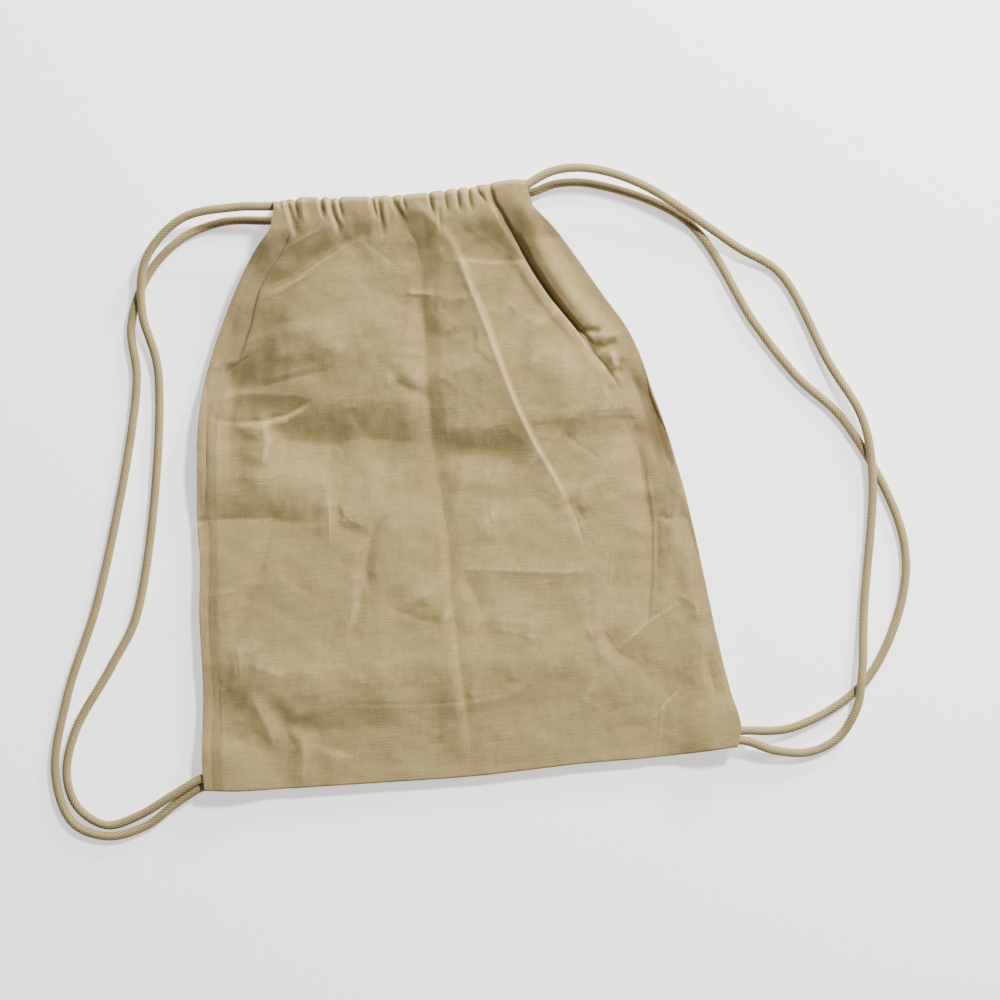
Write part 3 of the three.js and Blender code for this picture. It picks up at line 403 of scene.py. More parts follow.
# Creases: height (a valley's is below 0), reach of the flank on the left of its line and on the
# right as one goes along it, height of a thin edge on the line, and the line's points (x, up).
# A line that starts or ends above the mouth runs through the hem.
frontCreases = [
    # pinches of the hem
    (-1.6, 1.0, 1.0, 0, [(-95, 408), (-98, 426)]),
    (-3.6, 1.6, 2.6, 0, [(-86, 388), (-88, 399), (-90, 408), (-94, 426)]),
    (-2.4, 1.0, 1.4, 0, [(-84, 400), (-86, 413), (-86, 426)]),
    (-3.0, 1.0, 2.0, 0, [(-66, 401), (-68, 412), (-69, 426)]),
    (-3.4, 1.4, 1.8, 0, [(-57, 389), (-57, 397), (-60, 406), (-62, 426)]),
    (-2.2, 0.9, 1.4, 0, [(-53, 400), (-55, 412), (-56, 426)]),
    (-2.8, 1.8, 1.2, 0, [(-29, 399), (-31, 410), (-33, 426)]),
    (-2.2, 0.9, 1.6, 0, [(-26, 386), (-27, 404), (-28, 418)]),
    (-2.8, 1.6, 2.0, 0, [(-11, 394), (-13, 404), (-17, 412), (-20, 426)]),
    (-1.8, 0.9, 1.0, 0, [(-8, 403), (-10, 412), (-10, 426)]),
    (-2.4, 1.0, 1.4, 0, [(10.5, 399), (8.5, 411), (7.5, 426)]),
    (-1.0, 1.0, 1.2, 0, [(14, 386), (14, 408)]),
    (-2.0, 1.0, 1.4, 0, [(20, 400), (19, 410), (19, 426)]),
    (-2.2, 1.0, 1.4, 0, [(29, 399), (28, 410), (28, 426)]),
    (-3.0, 1.2, 1.6, 0, [(37, 398), (36, 408), (36, 426)]),
    (-2.4, 1.4, 1.0, 0, [(49, 402), (42, 414), (39, 426)]),
    (1.6, 2.0, 2.0, 0, [(-80, 396), (-81, 426)]),
    (1.2, 2.0, 1.4, 0, [(-23.5, 392), (-23, 426)]),
    (1.2, 2.0, 2.6, 0, [(-64, 400), (-64, 426)]),
    (1.0, 2.0, 2.0, 0, [(-92, 400), (-91, 426)]),
    (1.2, 2.0, 2.0, 0, [(13, 402), (13, 426)]),
    (1.0, 2.0, 2.0, 0, [(24, 402), (24, 426)]),
    (1.2, 2.0, 2.0, 0, [(32, 402), (32, 426)]),
    (-1.6, 7.0, 3.0, 0, [(-50, 392), (-34, 391)]),
    # under the mouth
    (-3.4, 2.2, 1.6, -0.8, [(73, 362), (66, 375), (59, 391), (53, 404), (51, 415), (50, 426)]),
    (1.5, 22.5, 2.2, 0, [(33, 332), (30, 352), (24, 369), (20, 382), (14, 391), (4, 404),
        (-10, 419)]),
    (-5.0, 36, 8.0, -0.3, [(-2, 361), (-4, 384), (-10, 394), (-20, 412)]),
    (-3.0, 22.5, 6.7, 0, [(3, 372), (3, 407)]),
    (-2.6, 7.3, 2.7, 1.3, [(-132, 350), (-108, 358), (-94, 362), (-74, 374), (-58, 383),
        (-30, 393)]),
    (-1.9, 10, 16, 0, [(-82, 382), (-65, 364)]),
    (1.0, 10, 4.0, -0.8, [(-98, 392), (-114, 376)]),
    (1.5, 4.0, 3.3, -0.8, [(-102, 381), (-118, 373)]),
    (1.4, 36, 24, -0.6, [(-44, 390), (-18, 366)]),
    (2.5, 36, 10.7, -0.5, [(-26, 398), (-2, 376)]),
    (-5.0, 36, 6.8, 1.0, [(74, 355), (60, 366), (46, 379), (28, 394)]),
    (1.4, 10.1, 36, 1.3, [(-17, 347), (7, 343)]),
    (1.4, 6.0, 8.4, 0, [(3, 343), (32, 336)]),
    (1.2, 6.7, 36, 0.8, [(23, 371), (33, 355), (36, 341)]),
    (-1.8, 36, 36, 0.7, [(-105, 379), (-61, 398)]),
    (-4.3, 11, 13.5, 1.3, [(-124, 350), (-104, 356), (-90, 360), (-70, 372), (-54, 382),
        (-26, 392)]),
    (3.1, 22.5, 36, 0.5, [(-120, 348), (-98, 356), (-74, 366), (-58, 376), (-46, 382)]),
    # upper left
    (0.0, 14, 36, 0.3, [(-16, 354), (-36, 334), (-60, 312)]),
    (1.5, 2.9, 4.5, -2.3, [(-146, 302), (-128, 312)]),
    (-5.0, 16, 10.7, 0.6, [(-142, 283), (-145, 310)]),
    (5.0, 36, 25, -0.5, [(-136, 293), (-104, 298), (-82, 302), (-52, 306)]),
    (2.1, 36, 6.1, 0.2, [(-146, 287), (-116, 283), (-96, 280), (-84, 273)]),
    (-2.0, 36, 2.2, -1.1, [(-152, 267), (-126, 264), (-108, 267), (-84, 278)]),
    (-2.0, 36, 6.7, -0.6, [(-162, 271), (-142, 264)]),
    (1.7, 4.0, 36, 0.2, [(-156, 308), (-148, 301)]),
    (1.7, 7.5, 4.5, -0.6, [(-142, 267), (-126, 253)]),
    (3.0, 3.0, 12, 0, [(-126, 268), (-122, 250), (-128, 229)]),
    (-5.0, 15, 36, 0.6, [(-124, 256), (-98, 250), (-78, 246), (-59, 242)]),
    (-5.0, 15, 36, 0, [(-130, 258), (-106, 249), (-74, 244), (-54, 246), (-30, 241), (4, 232)]),
    (-0.9, 9.8, 10.7, -0.3, [(-63, 270), (-57, 256), (-53, 246)]),
    (-2.0, 15, 10, 0, [(-48, 322), (-40, 302), (-30, 288)]),
    (-2.7, 4.5, 18.8, 0, [(-32, 286), (-18, 276), (-3, 268)]),
    (5.0, 22.5, 36, -0.4, [(-110, 338), (-82, 320), (-50, 296)]),
    (2.1, 36, 25, 0, [(-98, 333), (-96, 301)]),
    (1.5, 36, 6.7, -0.4, [(-142, 318), (-104, 320)]),
    (5.0, 15, 36, -0.3, [(-58, 314), (-16, 290), (8, 284)]),
    (3.0, 10, 36, -0.6, [(-170, 226), (-124, 222), (-80, 226)]),
    (2.4, 25.3, 36, 0, [(-137, 264), (-133, 228), (-137, 200)]),
    (3.5, 15, 36, -0.6, [(-164, 298), (-168, 244), (-172, 188)]),
    (-4.0, 9.0, 6.0, 0.3, [(-6, 200), (-6, 238), (-6, 264), (-6, 286), (-4, 312), (-4, 338),
        (1, 381)]),
    (3.5, 10, 36, -1.3, [(-158, 321), (-164, 267), (-168, 211)]),
    (-4.0, 36, 6.7, 1.1, [(-150, 271), (-154, 226), (-156, 203)]),
    (-3.5, 16, 36, 0.2, [(-149, 336), (-127, 326), (-105, 324)]),
    (-1.2, 16.9, 3.3, -0.4, [(-140, 287), (-116, 290), (-94, 293), (-68, 297)]),
    (1.3, 11.3, 4.5, 0.2, [(-134, 262), (-114, 264), (-98, 268), (-90, 275)]),
    # upper right
    (-4.5, 9.3, 13.8, 0.7, [(-11, 233), (16, 230), (40, 226), (65, 220)]),
    (-0.8, 24, 10.1, 0, [(72, 250), (82, 231)]),
    (-5.0, 36, 36, -1.0, [(83, 240), (99, 224), (116, 210)]),
    (2.5, 13.5, 2.7, -1.3, [(107, 248), (147, 246)]),
    (-4.5, 7.5, 4.0, 0.6, [(166, 186), (158, 212), (154, 228), (150, 242), (146, 256),
        (140, 266), (130, 287)]),
    (-5.0, 10, 15, 0, [(136, 246), (139, 212), (140, 186)]),
    (2.5, 10, 15, 0, [(48, 340), (68, 318), (88, 308)]),
    (4.2, 11.2, 24, -0.8, [(60, 296), (86, 284), (104, 284)]),
    (4.8, 36, 10.1, -0.6, [(-4, 240), (44, 248), (82, 248), (139, 248)]),
    (5.0, 36, 36, -0.3, [(-9, 348), (24, 304), (41, 266)]),
    (4.0, 5.3, 5.2, -0.6, [(151, 261), (162, 206), (170, 157)]),
    (-2.1, 30, 36, 0.3, [(96, 277), (105, 233), (118, 200)]),
    (5.0, 36, 33.8, -0.4, [(8, 302), (18, 270), (36, 248)]),
    (-4.6, 24, 22.5, 0.3, [(38, 347), (60, 334), (74, 310)]),
    (1.9, 6.7, 10.1, 0.2, [(86, 238), (101, 222), (116, 210)]),
    (-2.0, 2.4, 2.4, -1.0, [(104, 307), (121, 304)]),
    (1.6, 3.2, 3.2, 0, [(112, 300), (136, 302)]),
    (-1.8, 3.0, 4.0, -0.9, [(112, 296), (121, 293), (131, 298)]),
    (-3.2, 5.0, 3.0, -1.4, [(108, 301), (114, 288), (121, 279), (128, 265)]),
    (1.4, 3.0, 3.0, 0.6, [(124, 291), (128, 276)]),
    (-1.2, 3.0, 3.0, -0.8, [(132, 286), (129, 271)]),
    (-1.4, 6.0, 4.0, 0, [(118, 262), (131, 266)]),
    # lower left
    (-3.5, 15, 10, -0.3, [(-178, 198), (-150, 198), (-134, 196), (-116, 196)]),
    (-4.2, 15, 15, 0, [(-134, 205), (-118, 192), (-80, 188)]),
    (3.0, 15, 22.5, 0, [(-86, 234), (-86, 201), (-88, 172)]),
    (-2.5, 2.2, 8.5, 0.8, [(-80, 204), (-76, 187), (-70, 183), (-52, 174)]),
    (-3.2, 4.5, 5.0, 0.3, [(-42, 193), (-54, 178), (-58, 166), (-62, 152), (-60, 131)]),
    (-2.3, 9.0, 2.7, 0.3, [(-65, 151), (-67, 128), (-73, 112), (-80, 96)]),
    (-2.5, 15, 36, -0.3, [(-59, 132), (-42, 121), (-26, 114), (-1, 107)]),
    (0.0, 4.0, 4.0, 0.6, [(-179, 145), (-149, 147)]),
    (1.8, 36, 6.0, -0.2, [(-138, 138), (-152, 108), (-162, 88)]),
    (1.5, 6.7, 3.0, -1.1, [(-159, 110), (-158, 86)]),
    (2.1, 6.7, 36, 0.2, [(-152, 94), (-140, 90), (-122, 81)]),
    (-3.1, 6.6, 15, 0.6, [(-142, 72), (-128, 48), (-106, 36)]),
    (1.9, 6.0, 6.8, 0, [(-151, 76), (-142, 52), (-136, 26)]),
    (3.3, 7.5, 7.0, -0.3, [(-130, 47), (-118, 36), (-117, 25), (-121, -5)]),
    (2.0, 15, 6.7, -0.3, [(-108, 41), (-100, 20), (-94, 3)]),
    (-1.1, 22.5, 2.2, 0, [(-116, 35), (-80, 20)]),
    (-1.1, 22.5, 36, 0.3, [(-112, 80), (-96, 98), (-92, 120)]),
    (-2.3, 9.0, 13.3, 0.6, [(-172, 92), (-162, 52)]),
    (2.5, 36, 24, -0.6, [(-172, 94), (-176, 38)]),
    (-2.1, 22.5, 9.0, 0, [(-118, 210), (-132, 168), (-152, 126), (-166, 94)]),
    (-1.4, 36, 10, 0, [(-79, 178), (-80, 134), (-90, 104), (-107, 72)]),
    (2.0, 6.7, 10, -0.8, [(-128, 64), (-70, 58), (-18, 54), (60, 58)]),
    (3.5, 15, 36, -0.2, [(-196, 82), (-128, 87), (-58, 83), (22, 81), (84, 76)]),
    (-2.6, 24, 15, 0.2, [(-190, 184), (-130, 180), (-94, 184)]),
    (-5.0, 36, 22.5, 0.3, [(-54, 202), (-11, 206), (12, 200)]),
    (-2.0, 15, 15, 0.2, [(-173, 126), (-119, 120), (-74, 124)]),
    (4.5, 22.5, 33.8, 0, [(-28, 142), (-17, 122), (3, 111)]),
    (1.5, 36, 36, 0, [(-60, 46), (-50, 18), (-52, -6)]),
    (-1.5, 6.7, 22.5, 0, [(-18, 64), (-22, 36), (-18, 12)]),
    (2.0, 24, 36, 1.3, [(-170, 282), (-175, 224), (-179, 164), (-184, 96)]),
    (3.0, 18, 10.7, -0.3, [(-39, 230), (-35, 196), (-39, 164)]),
    (-1.5, 3.6, 4.5, 0, [(0, -18), (0, 42), (-2, 86), (-3, 130), (-1, 170), (-4, 200),
        (-5, 242)]),
    (-3.0, 24, 17, -1.6, [(-198, 198), (-166, 199)]),
    (3.1, 36, 15, 0, [(-200, 104), (-173, 95), (-157, 87), (-145, 80)]),
    (-2.5, 10, 6.8, 0.6, [(-172, 86), (-174, 42), (-168, 2)]),
    (1.1, 16.7, 36, 0, [(-92, 162), (-99, 128), (-114, 96)]),
    (1.2, 36, 9.3, -0.5, [(-36, 178), (-40, 150), (-48, 130)]),
    (2.1, 11.9, 21, -0.3, [(-131, 69), (-87, 76), (-32, 76)]),
    (-1.2, 12, 10.7, 0, [(-87, 16), (-33, 10), (23, 10)]),
    (0.8, 36, 3.0, -1.2, [(-78, 203), (-75, 192), (-68, 185), (-55, 180)]),
    (0.0, 3.0, 3.0, 0.7, [(-84, 222), (-83, 192), (-86, 166)]),
    (2.0, 15, 15, 0, [(-4, 126), (-4, 66), (-2, 6)]),
    # lower right
    (3.0, 10, 24, 0.3, [(-5, 148), (32, 144), (50, 141), (75, 138), (111, 135)]),
    (-2.0, 22.5, 4.5, 0, [(5, 145), (15, 124), (18, 108)]),
    (1.2, 36, 6.1, 0, [(16, 119), (28, 109), (42, 106), (70, 96)]),
    (1.6, 5.1, 3.0, -0.8, [(-3, 118), (5, 106), (18, 103)]),
    (1.4, 6.6, 3.6, -0.8, [(60, 200), (86, 184)]),
    (-1.9, 5.4, 12.5, 0, [(84, 192), (96, 170)]),
    (1.1, 2.2, 7.5, -1.6, [(83, 192), (90, 174), (94, 154)]),
    (1.7, 15, 36, 0.3, [(88, 104), (96, 84), (99, 68)]),
    (-3.1, 15, 22.5, -0.2, [(95, 100), (109, 78), (123, 68), (137, 54)]),
    (-2.0, 9.0, 25, 0.3, [(59, 72), (88, 50)]),
    (1.4, 36, 6.0, 0.4, [(151, 117), (163, 110), (168, 104), (169, 92)]),
    (-2.6, 22.5, 22.5, 0.2, [(164, 102), (150, 78), (142, 66), (142, 56), (154, 50), (158, 36)]),
    (3.0, 10, 10, 0, [(174, 92), (168, 64), (170, 34)]),
    (-2.0, 4.0, 7.5, -0.6, [(171, 76), (174, 53), (178, 27)]),
    (-1.1, 3.3, 18.8, 0.3, [(126, 32), (122, -1)]),
    (-0.7, 36, 11.2, -0.6, [(145, 172), (159, 168)]),
    (-3.0, 18.8, 28.2, -0.6, [(158, 169), (180, 167)]),
    (2.2, 18, 13.3, 0, [(17, 181), (39, 157)]),
    (-1.2, 2.2, 24, 1.1, [(106, 116), (114, 154)]),
    (-2.9, 5.3, 18.8, 1.1, [(141, 51), (134, 18), (127, -11)]),
    (-2.3, 36, 4.0, 0.3, [(114, 152), (106, 118), (102, 96), (106, 78), (128, 66)]),
    (-5.0, 36, 36, 1.3, [(142, 216), (145, 166), (141, 126), (133, 84)]),
    (3.0, 10, 9.3, -0.2, [(150, 220), (156, 179), (154, 149), (148, 119), (136, 85)]),
    (-3.0, 24, 15, 0.3, [(2, 198), (62, 194), (85, 176)]),
    (-1.4, 36, 10, 0, [(5, 174), (70, 172), (115, 172)]),
    (-3.1, 36, 15, 0.3, [(21, 134), (64, 131), (106, 131)]),
    (2.1, 36, 12, 0, [(38, 87), (64, 72), (90, 52), (99, 33)]),
    (-1.7, 36, 7.9, 0, [(130, 63), (147, 39), (149, 4)]),
    (1.3, 8.0, 24, -0.3, [(14, 52), (26, 24), (24, 0)]),
    (1.4, 12, 18, -0.3, [(64, 50), (70, 26), (68, 1)]),
    (3.0, 8.0, 5.3, -0.6, [(161, 170), (164, 126), (172, 82)]),
    (3.5, 15, 15, -0.8, [(35, 222), (28, 194), (30, 162)]),
    (3.1, 10, 15.1, -0.6, [(162, 104), (176, 64), (188, 32)]),
    (0.8, 3.0, 11.2, -1.9, [(150, 168), (158, 169)]),
    (3.0, 10, 15, 0, [(20, 106), (40, 98), (60, 92)]),
]
# Steps: height of the left side over the right, how wide the slope is, reach, and the points
frontSteps = [
    (0.9, 1.2, 12, [(74, 359), (46, 362.5), (20, 369)]),
    (1.9, 4.0, 9, [(142, 204), (145, 182), (147, 160), (145, 140), (141, 120), (137, 105),
        (133, 84)]),
    (1.6, 9.0, 24, [(-112, 66), (-60, 62), (-8, 62), (50, 66)]),
]
# Wide soft swellings: x and up of both ends, height and half width
swellings = [
    (-40, 110, -60, 95, 1.8, 26), (60, 200, 90, 120, 1.6, 24), (-66, 345, -50, 326, 5.4, 27),
    (-130, 230, -120, 120, 1.4, 22), (18, 330, 26, 262, -2.0, 16), (60, 60, 130, 70, 1.0, 22),
    (-42, 410, -36, 412, 1.8, 8), (66, 408, 84, 380, 2.4, 9), (-165, 190, -168, 110, 1.2, 14),
    (110, 230, 100, 250, 1.4, 18), (-22, 262, -40, 275, 1.8, 18), (14, 398, 30, 402, 1.2, 9),
]
# Gathers of the back: x at the stitching, how far it drifts by its lower end, and its length
backGathers = [(-88, -9, 26), (-71, -10, 34), (-57, -6, 24), (-45, -6, 36), (-29, -3, 28),
               (-11, -1, 34), (3, 1, 26), (15, 3, 34), (31, 6, 30), (45, 8, 26), (59, 11, 36)]
backCreases = [(1.3, 2.4, 2.4, 0, [(x + drift, cloth["stitchUp"] - length),
                                   (x, cloth["stitchUp"]), (x, 426)])
               for x, drift, length in backGathers]
# Unevenness all over the front: height, seed, shortest and longest wave, and number of waves
unevenness = [(0.35, 11, 32, 90, 14), (0.15, 12, 12, 26, 18), (0.06, 13, 5, 11, 20)]


# Nearest point of a line of points: its distance, which side of it a point is on, and where
# along the line it lies, from 0 to 1. Where two stretches of it are equally near, the side is
# that of the stretch that the point is farther aside of.
def lineDistance(points, x, up):
    best = np.full(x.shape, 1e9)
    aside = np.zeros_like(x)
    place = np.zeros_like(x)
    lengths = [math.hypot(b[0] - a[0], b[1] - a[1]) for a, b in zip(points[:-1], points[1:])]
    passed = 0
    for (x1, up1), (x2, up2), length in zip(points[:-1], points[1:], lengths):
        dx, du = x2 - x1, up2 - up1
        t = np.clip(((x - x1) * dx + (up - up1) * du) / length**2, 0, 1)
        distance = np.hypot(x - x1 - t * dx, up - up1 - t * du)
        offset = (dx * (up - up1) - du * (x - x1)) / length
        tied = (distance < best + 1e-6) & (np.abs(offset) > np.abs(aside))
        nearer = (distance < best - 1e-6) | tied
        aside = np.where(nearer, offset, aside)
        place = np.where(nearer, (passed + t * length) / sum(lengths), place)
        best = np.minimum(best, distance)
        passed += length
    return best, np.sign(aside), place


# 0 at t = 0 and t = 1, and 1 farther from both than the edge
def fadeEnds(t, edge):
    return smooth(t / edge) * smooth((1 - t) / edge)


crease = {"round": 0.4, "spread": 1.85, "flatten": 1.5, "edgeReach": 1.3, "fade": 0.3}


# Sharp at the line, with flanks that flatten out to 0 and the thin edge on top of them, and
# fading towards both ends of the line
def creaseRelief(creases, x, up):
    total = np.zeros_like(x)
    for height, leftReach, rightReach, edge, points in creases:
        distance, side, place = lineDistance(points, x, up)
        reach = mix(rightReach, leftReach, smooth(0.5 + side * distance / 2))
        away = np.hypot(distance, crease["round"]) - crease["round"]
        slope = np.maximum(0, 1 - away / (crease["spread"] * reach)) ** crease["flatten"]
        flank = height * slope + edge * np.exp(-away / crease["edgeReach"])
        total += flank * fadeEnds(place, crease["fade"])
    return total


# One side of the line stands over the other, and both come back to the cloth at the reach
def stepRelief(steps, x, up):
    total = np.zeros_like(x)
    for height, slope, reach, points in steps:
        distance, side, place = lineDistance(points, x, up)
        ends = smooth(place / 0.25 + 0.1) * smooth((1 - place) / 0.25 + 0.1)
        total += height * np.tanh(side * distance / slope) * np.exp(-distance / reach) * ends
    return total


crumples = {"seed": 31, "count": 90, "x": (-180, 180), "up": (5, 385), "length": (8, 38),
            "height": (0.2, 0.6), "reach": (1.2, 6), "turn": 0.35, "bend": 0.12, "room": 20}


# Fine crumpling: short thin creases at seeded places, most of them near level or upright
def crumpleRelief(x, up):
    dice = np.random.default_rng(crumples["seed"])
    total = np.zeros_like(x)
    for _ in range(crumples["count"]):
        startX, startUp = dice.uniform(*crumples["x"]), dice.uniform(*crumples["up"])
        angle = dice.choice([0, 0, 0.5, 0.3, 0.7]) * math.pi + dice.normal() * crumples["turn"]
        length = dice.uniform(*crumples["length"])
        height = dice.uniform(*crumples["height"]) * dice.choice([-1, 1])
        leftReach, rightReach = dice.uniform(*crumples["reach"], 2)
        bend = dice.normal() * crumples["bend"] * length
        dx, du = math.cos(angle), math.sin(angle)
        middle = (startX + dx * length / 2 - du * bend, startUp + du * length / 2 + dx * bend)
        end = (startX + dx * length, startUp + du * length)
        room = length / 2 + crumples["room"]
        near = (np.abs(x - middle[0]) < room) & (np.abs(up - middle[1]) < room)
        row = (height, leftReach, rightReach, 0, [(startX, startUp), middle, end])
        total[near] += creaseRelief([row], x[near], up[near])
    return total


def swellingRelief(x, up):
    total = np.zeros_like(x)
    for x1, up1, x2, up2, height, half in swellings:
        total += height * bell(lineDistance([(x1, up1), (x2, up2)], x, up)[0], half)
    return total


# How open the slit beside the right strip is: it is widest near its middle
def slitStrength(up):
    return smooth((up - 286) / 26) * smooth((388 - up) / 34)


longFolds = {"leftValley": 2.0, "leftStep": 1.5, "leftRoll": 1.8, "slitDepth": 7.0,
             "slitLip": 1.6, "rightRoll": 4.6, "ridge": 4.2}


# Long folds down the bag: the fold beside its left edge with the strip's own roll, the slit
# beside the right strip and that strip's roll, and the long ridge with a flat face on its right.
# Each is a bell, a step or a fading flank of its distance across, times its place along it.
def longRelief(x, up):
    total = np.zeros_like(x)
    fromFold = x - across("leftFold", up)
    reach = mix(3.4, 9, smooth(fromFold / 2 + 0.5))
    alongFold = fadeEnds((up - 304) / 100, 0.2)
    valley = np.exp(-(np.hypot(fromFold, 0.6) - 0.6) / reach)
    step = np.tanh(fromFold / 0.9) * np.exp(-np.abs(fromFold) / 9)
    total += (longFolds["leftStep"] * step - longFolds["leftValley"] * valley) * alongFold
    total += longFolds["leftRoll"] * bell(fromFold + 12, 8) * fadeEnds((up - 296) / 110, 0.3)
    fromSlit = x - across("slit", up)
    trough = smooth((fromSlit + 3.5) / 2.6) * (1 - smooth((fromSlit - 1.5) / 5))
    lip = longFolds["slitLip"] * bell(fromSlit + 6, 4)
    total += (lip - longFolds["slitDepth"] * trough) * slitStrength(up)
    total += longFolds["rightRoll"] * bell(fromSlit - 14, 9) * fadeEnds((up - 288) / 112, 0.25)
    beside = x - across("ridge", up)
    face = mix(2.4, 6, smooth((up - 250) / 70))
    raised = np.where(beside < 0, np.exp(beside / 13), 1 - smooth(beside / face))
    return total + longFolds["ridge"] * raised * fadeEnds((up - 176) / 216, 0.25)


# How far the front stands free of the back, from 0 at the seams to 1
def freedom(x, up):
    return 1 - (1 - inside(x, up, cloth["loftReach"])) * (1 - parted(up))


# How much of the relief the front takes by itself. Near the seams the back goes along with it.
def ownShare(risen):
    return (0.35 + 0.65 * smooth((risen - 0.05) / 0.35)) * np.minimum(1, risen * 4 + 0.25)


# All that lifts the front off its plain form
def frontRelief(x, up):
    uneven = sum(height * ripples(x, up, *waves) for height, *waves in unevenness)
    relief = longRelief(x, up) + swellingRelief(x, up)
    relief += uneven * (1 - smooth((up - 388) / 14) * 0.6)
    relief += creaseRelief(frontCreases, x, up) + stepRelief(frontSteps, x, up)
    return relief + crumpleRelief(x, up)


# The back lies on the surface and curls up to the seams, where it goes along with the front's
# relief
def backHeight(x, up, relief):
    curl = (1 - inside(x, up, cloth["curlReach"])) * (1 - parted(up))
    height = mix(layer["backOuter"], across("seam", up) - cloth["pitch"] / 2, curl)
    height = height + 0.75 * (1 - ownShare(freedom(x, up))) * relief * smooth(curl * 2)
    height = np.maximum(height, layer["backOuter"])
    for pocket in pockets:
        bottom = max(layer["backOuter"], pocket["middle"] - pocket["opening"] / 2)
        height = mix(height, bottom, pocketWeight(pocket, x, up))
    return height


# The back's own gathers lift it off the surface, as far as the cords in its hem leave room
def backForm(x, up):
    relief = np.maximum(0, creaseRelief(backCreases, x, up))
    relief *= mix(1.6, 1, smooth((up - 380) / 14))
    return backHeight(x, up, frontRelief(x, up)) + relief * freedom(x, up)


# Height of the middle of the front cloth, up to the top of the outer wall of its hem
def frontForm(x, up):
    relief = frontRelief(x, up)
    below = backHeight(x, up, relief)
    edge = across("seam", up) + cloth["pitch"] / 2
    risen = freedom(x, up)
    height = mix(edge, across("level", up), risen) + relief * mix(0.75, 1, ownShare(risen))
    height = height + cloth["hemLift"] * smooth((up - 372) / 30)
    for pocket in pockets:
        roof = pocket["middle"] + pocket["opening"] / 2 + 0.6 * np.maximum(0, relief)
        height = mix(height, roof, pocketWeight(pocket, x, up))
    groove = bell(x - across("left", up) - 6.2, 1.1) * (1 - parted(up))
    height = height - cloth["seamGroove"] * groove
    lowest = below + cloth["pitch"] + 1.2 * inside(x, up, cloth["curlReach"])
    height = np.maximum(height, lowest)
    over = height - layer["frontOuter"] - 0.2
    held = layer["frontOuter"] + (over + np.hypot(over, 0.6)) / 2
    return mix(height, held, smooth((up - 388) / 9))


# One panel: rows of the body up to the stitching, the hem's outer wall, its fold and its inner
# wall, which climbs from the body's inside to its own height and ends short of the cords' turns.
def panelObject(name, form):
    side, middle = form["side"], bagHeight / 2
    u = np.linspace(0, 1, form["columns"] + 1)
    low = np.linspace(0, cloth["spreadUp"], form["bodyRows"], endpoint=False)
    neck = np.linspace(cloth["spreadUp"], cloth["stitchUp"], form["neckRows"])
    up = np.concatenate([low, neck])
    x = columnX(form["guides"], u, up)
    place = np.broadcast_to(up[:, None], x.shape)
    z = form["height"](x, place)
    if side > 0:  # the slit's left lip leans over it
        x = x + 1.5 * slitStrength(place) * bell(x - across("slit", place) + 3.5, 2.4)
    body = np.stack([x, bodyUp(x, place) - middle, z], axis=-1)

    mouthX = mix(cloth["mouthLeft"], cloth["mouthRight"], u)
    stitch = stitchAt(mouthX)
    pinched = creaseRelief(form["creases"], mouthX, np.full_like(mouthX, 421))
    foldUp = topAt(mouthX) - cloth["thickness"] / 2 - cloth["foldReach"]
    foldUp = foldUp - 0.9 * np.clip(side * -pinched, -0.5, 2.4)
    foldUp = foldUp + 0.25 * ripples(mouthX, mouthX * 0, 21, 9, 30, 8)
    shares = np.linspace(0, 1, form["wallRows"] + 1)[1:, None]
    wallX = mix(x[-1], mouthX, smooth(shares))
    wallUp = mix(stitch, foldUp, shares)
    wallZ = form["height"](wallX, cloth["stitchUp"] + wallUp - stitch)
    wallRows = np.stack([wallX, wallUp - middle, wallZ], axis=-1)

    outer, inner = wallZ[-1], form["inner"]
    angles = np.radians(np.linspace(78, -78, 13))[:, None]
    fold = np.stack(np.broadcast_arrays(
        mouthX, foldUp + cloth["foldReach"] * np.cos(angles) - middle,
        (outer + inner) / 2 + (outer - inner) / 2 * np.sin(angles)), axis=-1)
    under = z[-1] - side * cloth["pitch"]
    innerShares = np.linspace(1, 0, 8)[:, None]
    innerUp = mix(stitch, foldUp, innerShares)
    climb = smooth((innerUp - stitch) / cloth["wallRise"])
    innerRows = np.stack([mix(x[-1], mouthX, smooth(innerShares)), innerUp - middle,
                          mix(under, inner, climb)], axis=-1)
    last = np.stack([x[-1], stitch - cloth["tuck"] - middle, under], axis=-1)[None]

    points = np.concatenate([body, wallRows, fold, innerRows, last])
    v = np.concatenate([up, cloth["stitchUp"] + 14 * shares[:, 0],
                        cloth["stitchUp"] + 14 + np.arange(1, 14) * 0.9,
                        cloth["stitchUp"] + 28 + np.arange(1, 10) * 2.2])
    uv = np.stack(np.broadcast_arrays(u[None, :] * cloth["cutWidth"], v[:, None]), axis=-1)
    keep = np.ones(((len(points) - 1) // coarse, form["columns"] // coarse), bool)
    firstInner = (len(points) - len(innerRows) - 2) // coarse
    keep[firstInner:, mouthX[:-1:coarse] < cloth["innerLeft"]] = False
    keep[firstInner:, mouthX[coarse::coarse] > cloth["innerRight"]] = False
    fromSeam = np.minimum(x - across("left", place), across("right", place) - x)
    seamTint = np.zeros(points.shape[:2])
    seamTint[:len(up)] = smooth(1.4 - fromSeam / 8) * smooth((place - 10) / 40)
    if side < 0:
        points, uv, keep, seamTint = (a[:, ::-1] for a in (points, uv, keep, seamTint))
    piece = sheetObject(name, side, points, uv, cloth["thickness"], keep, seamTint)
    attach(piece, "root")
    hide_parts(form["node"])
    print(name, "made,", points.shape[:2])
    return piece


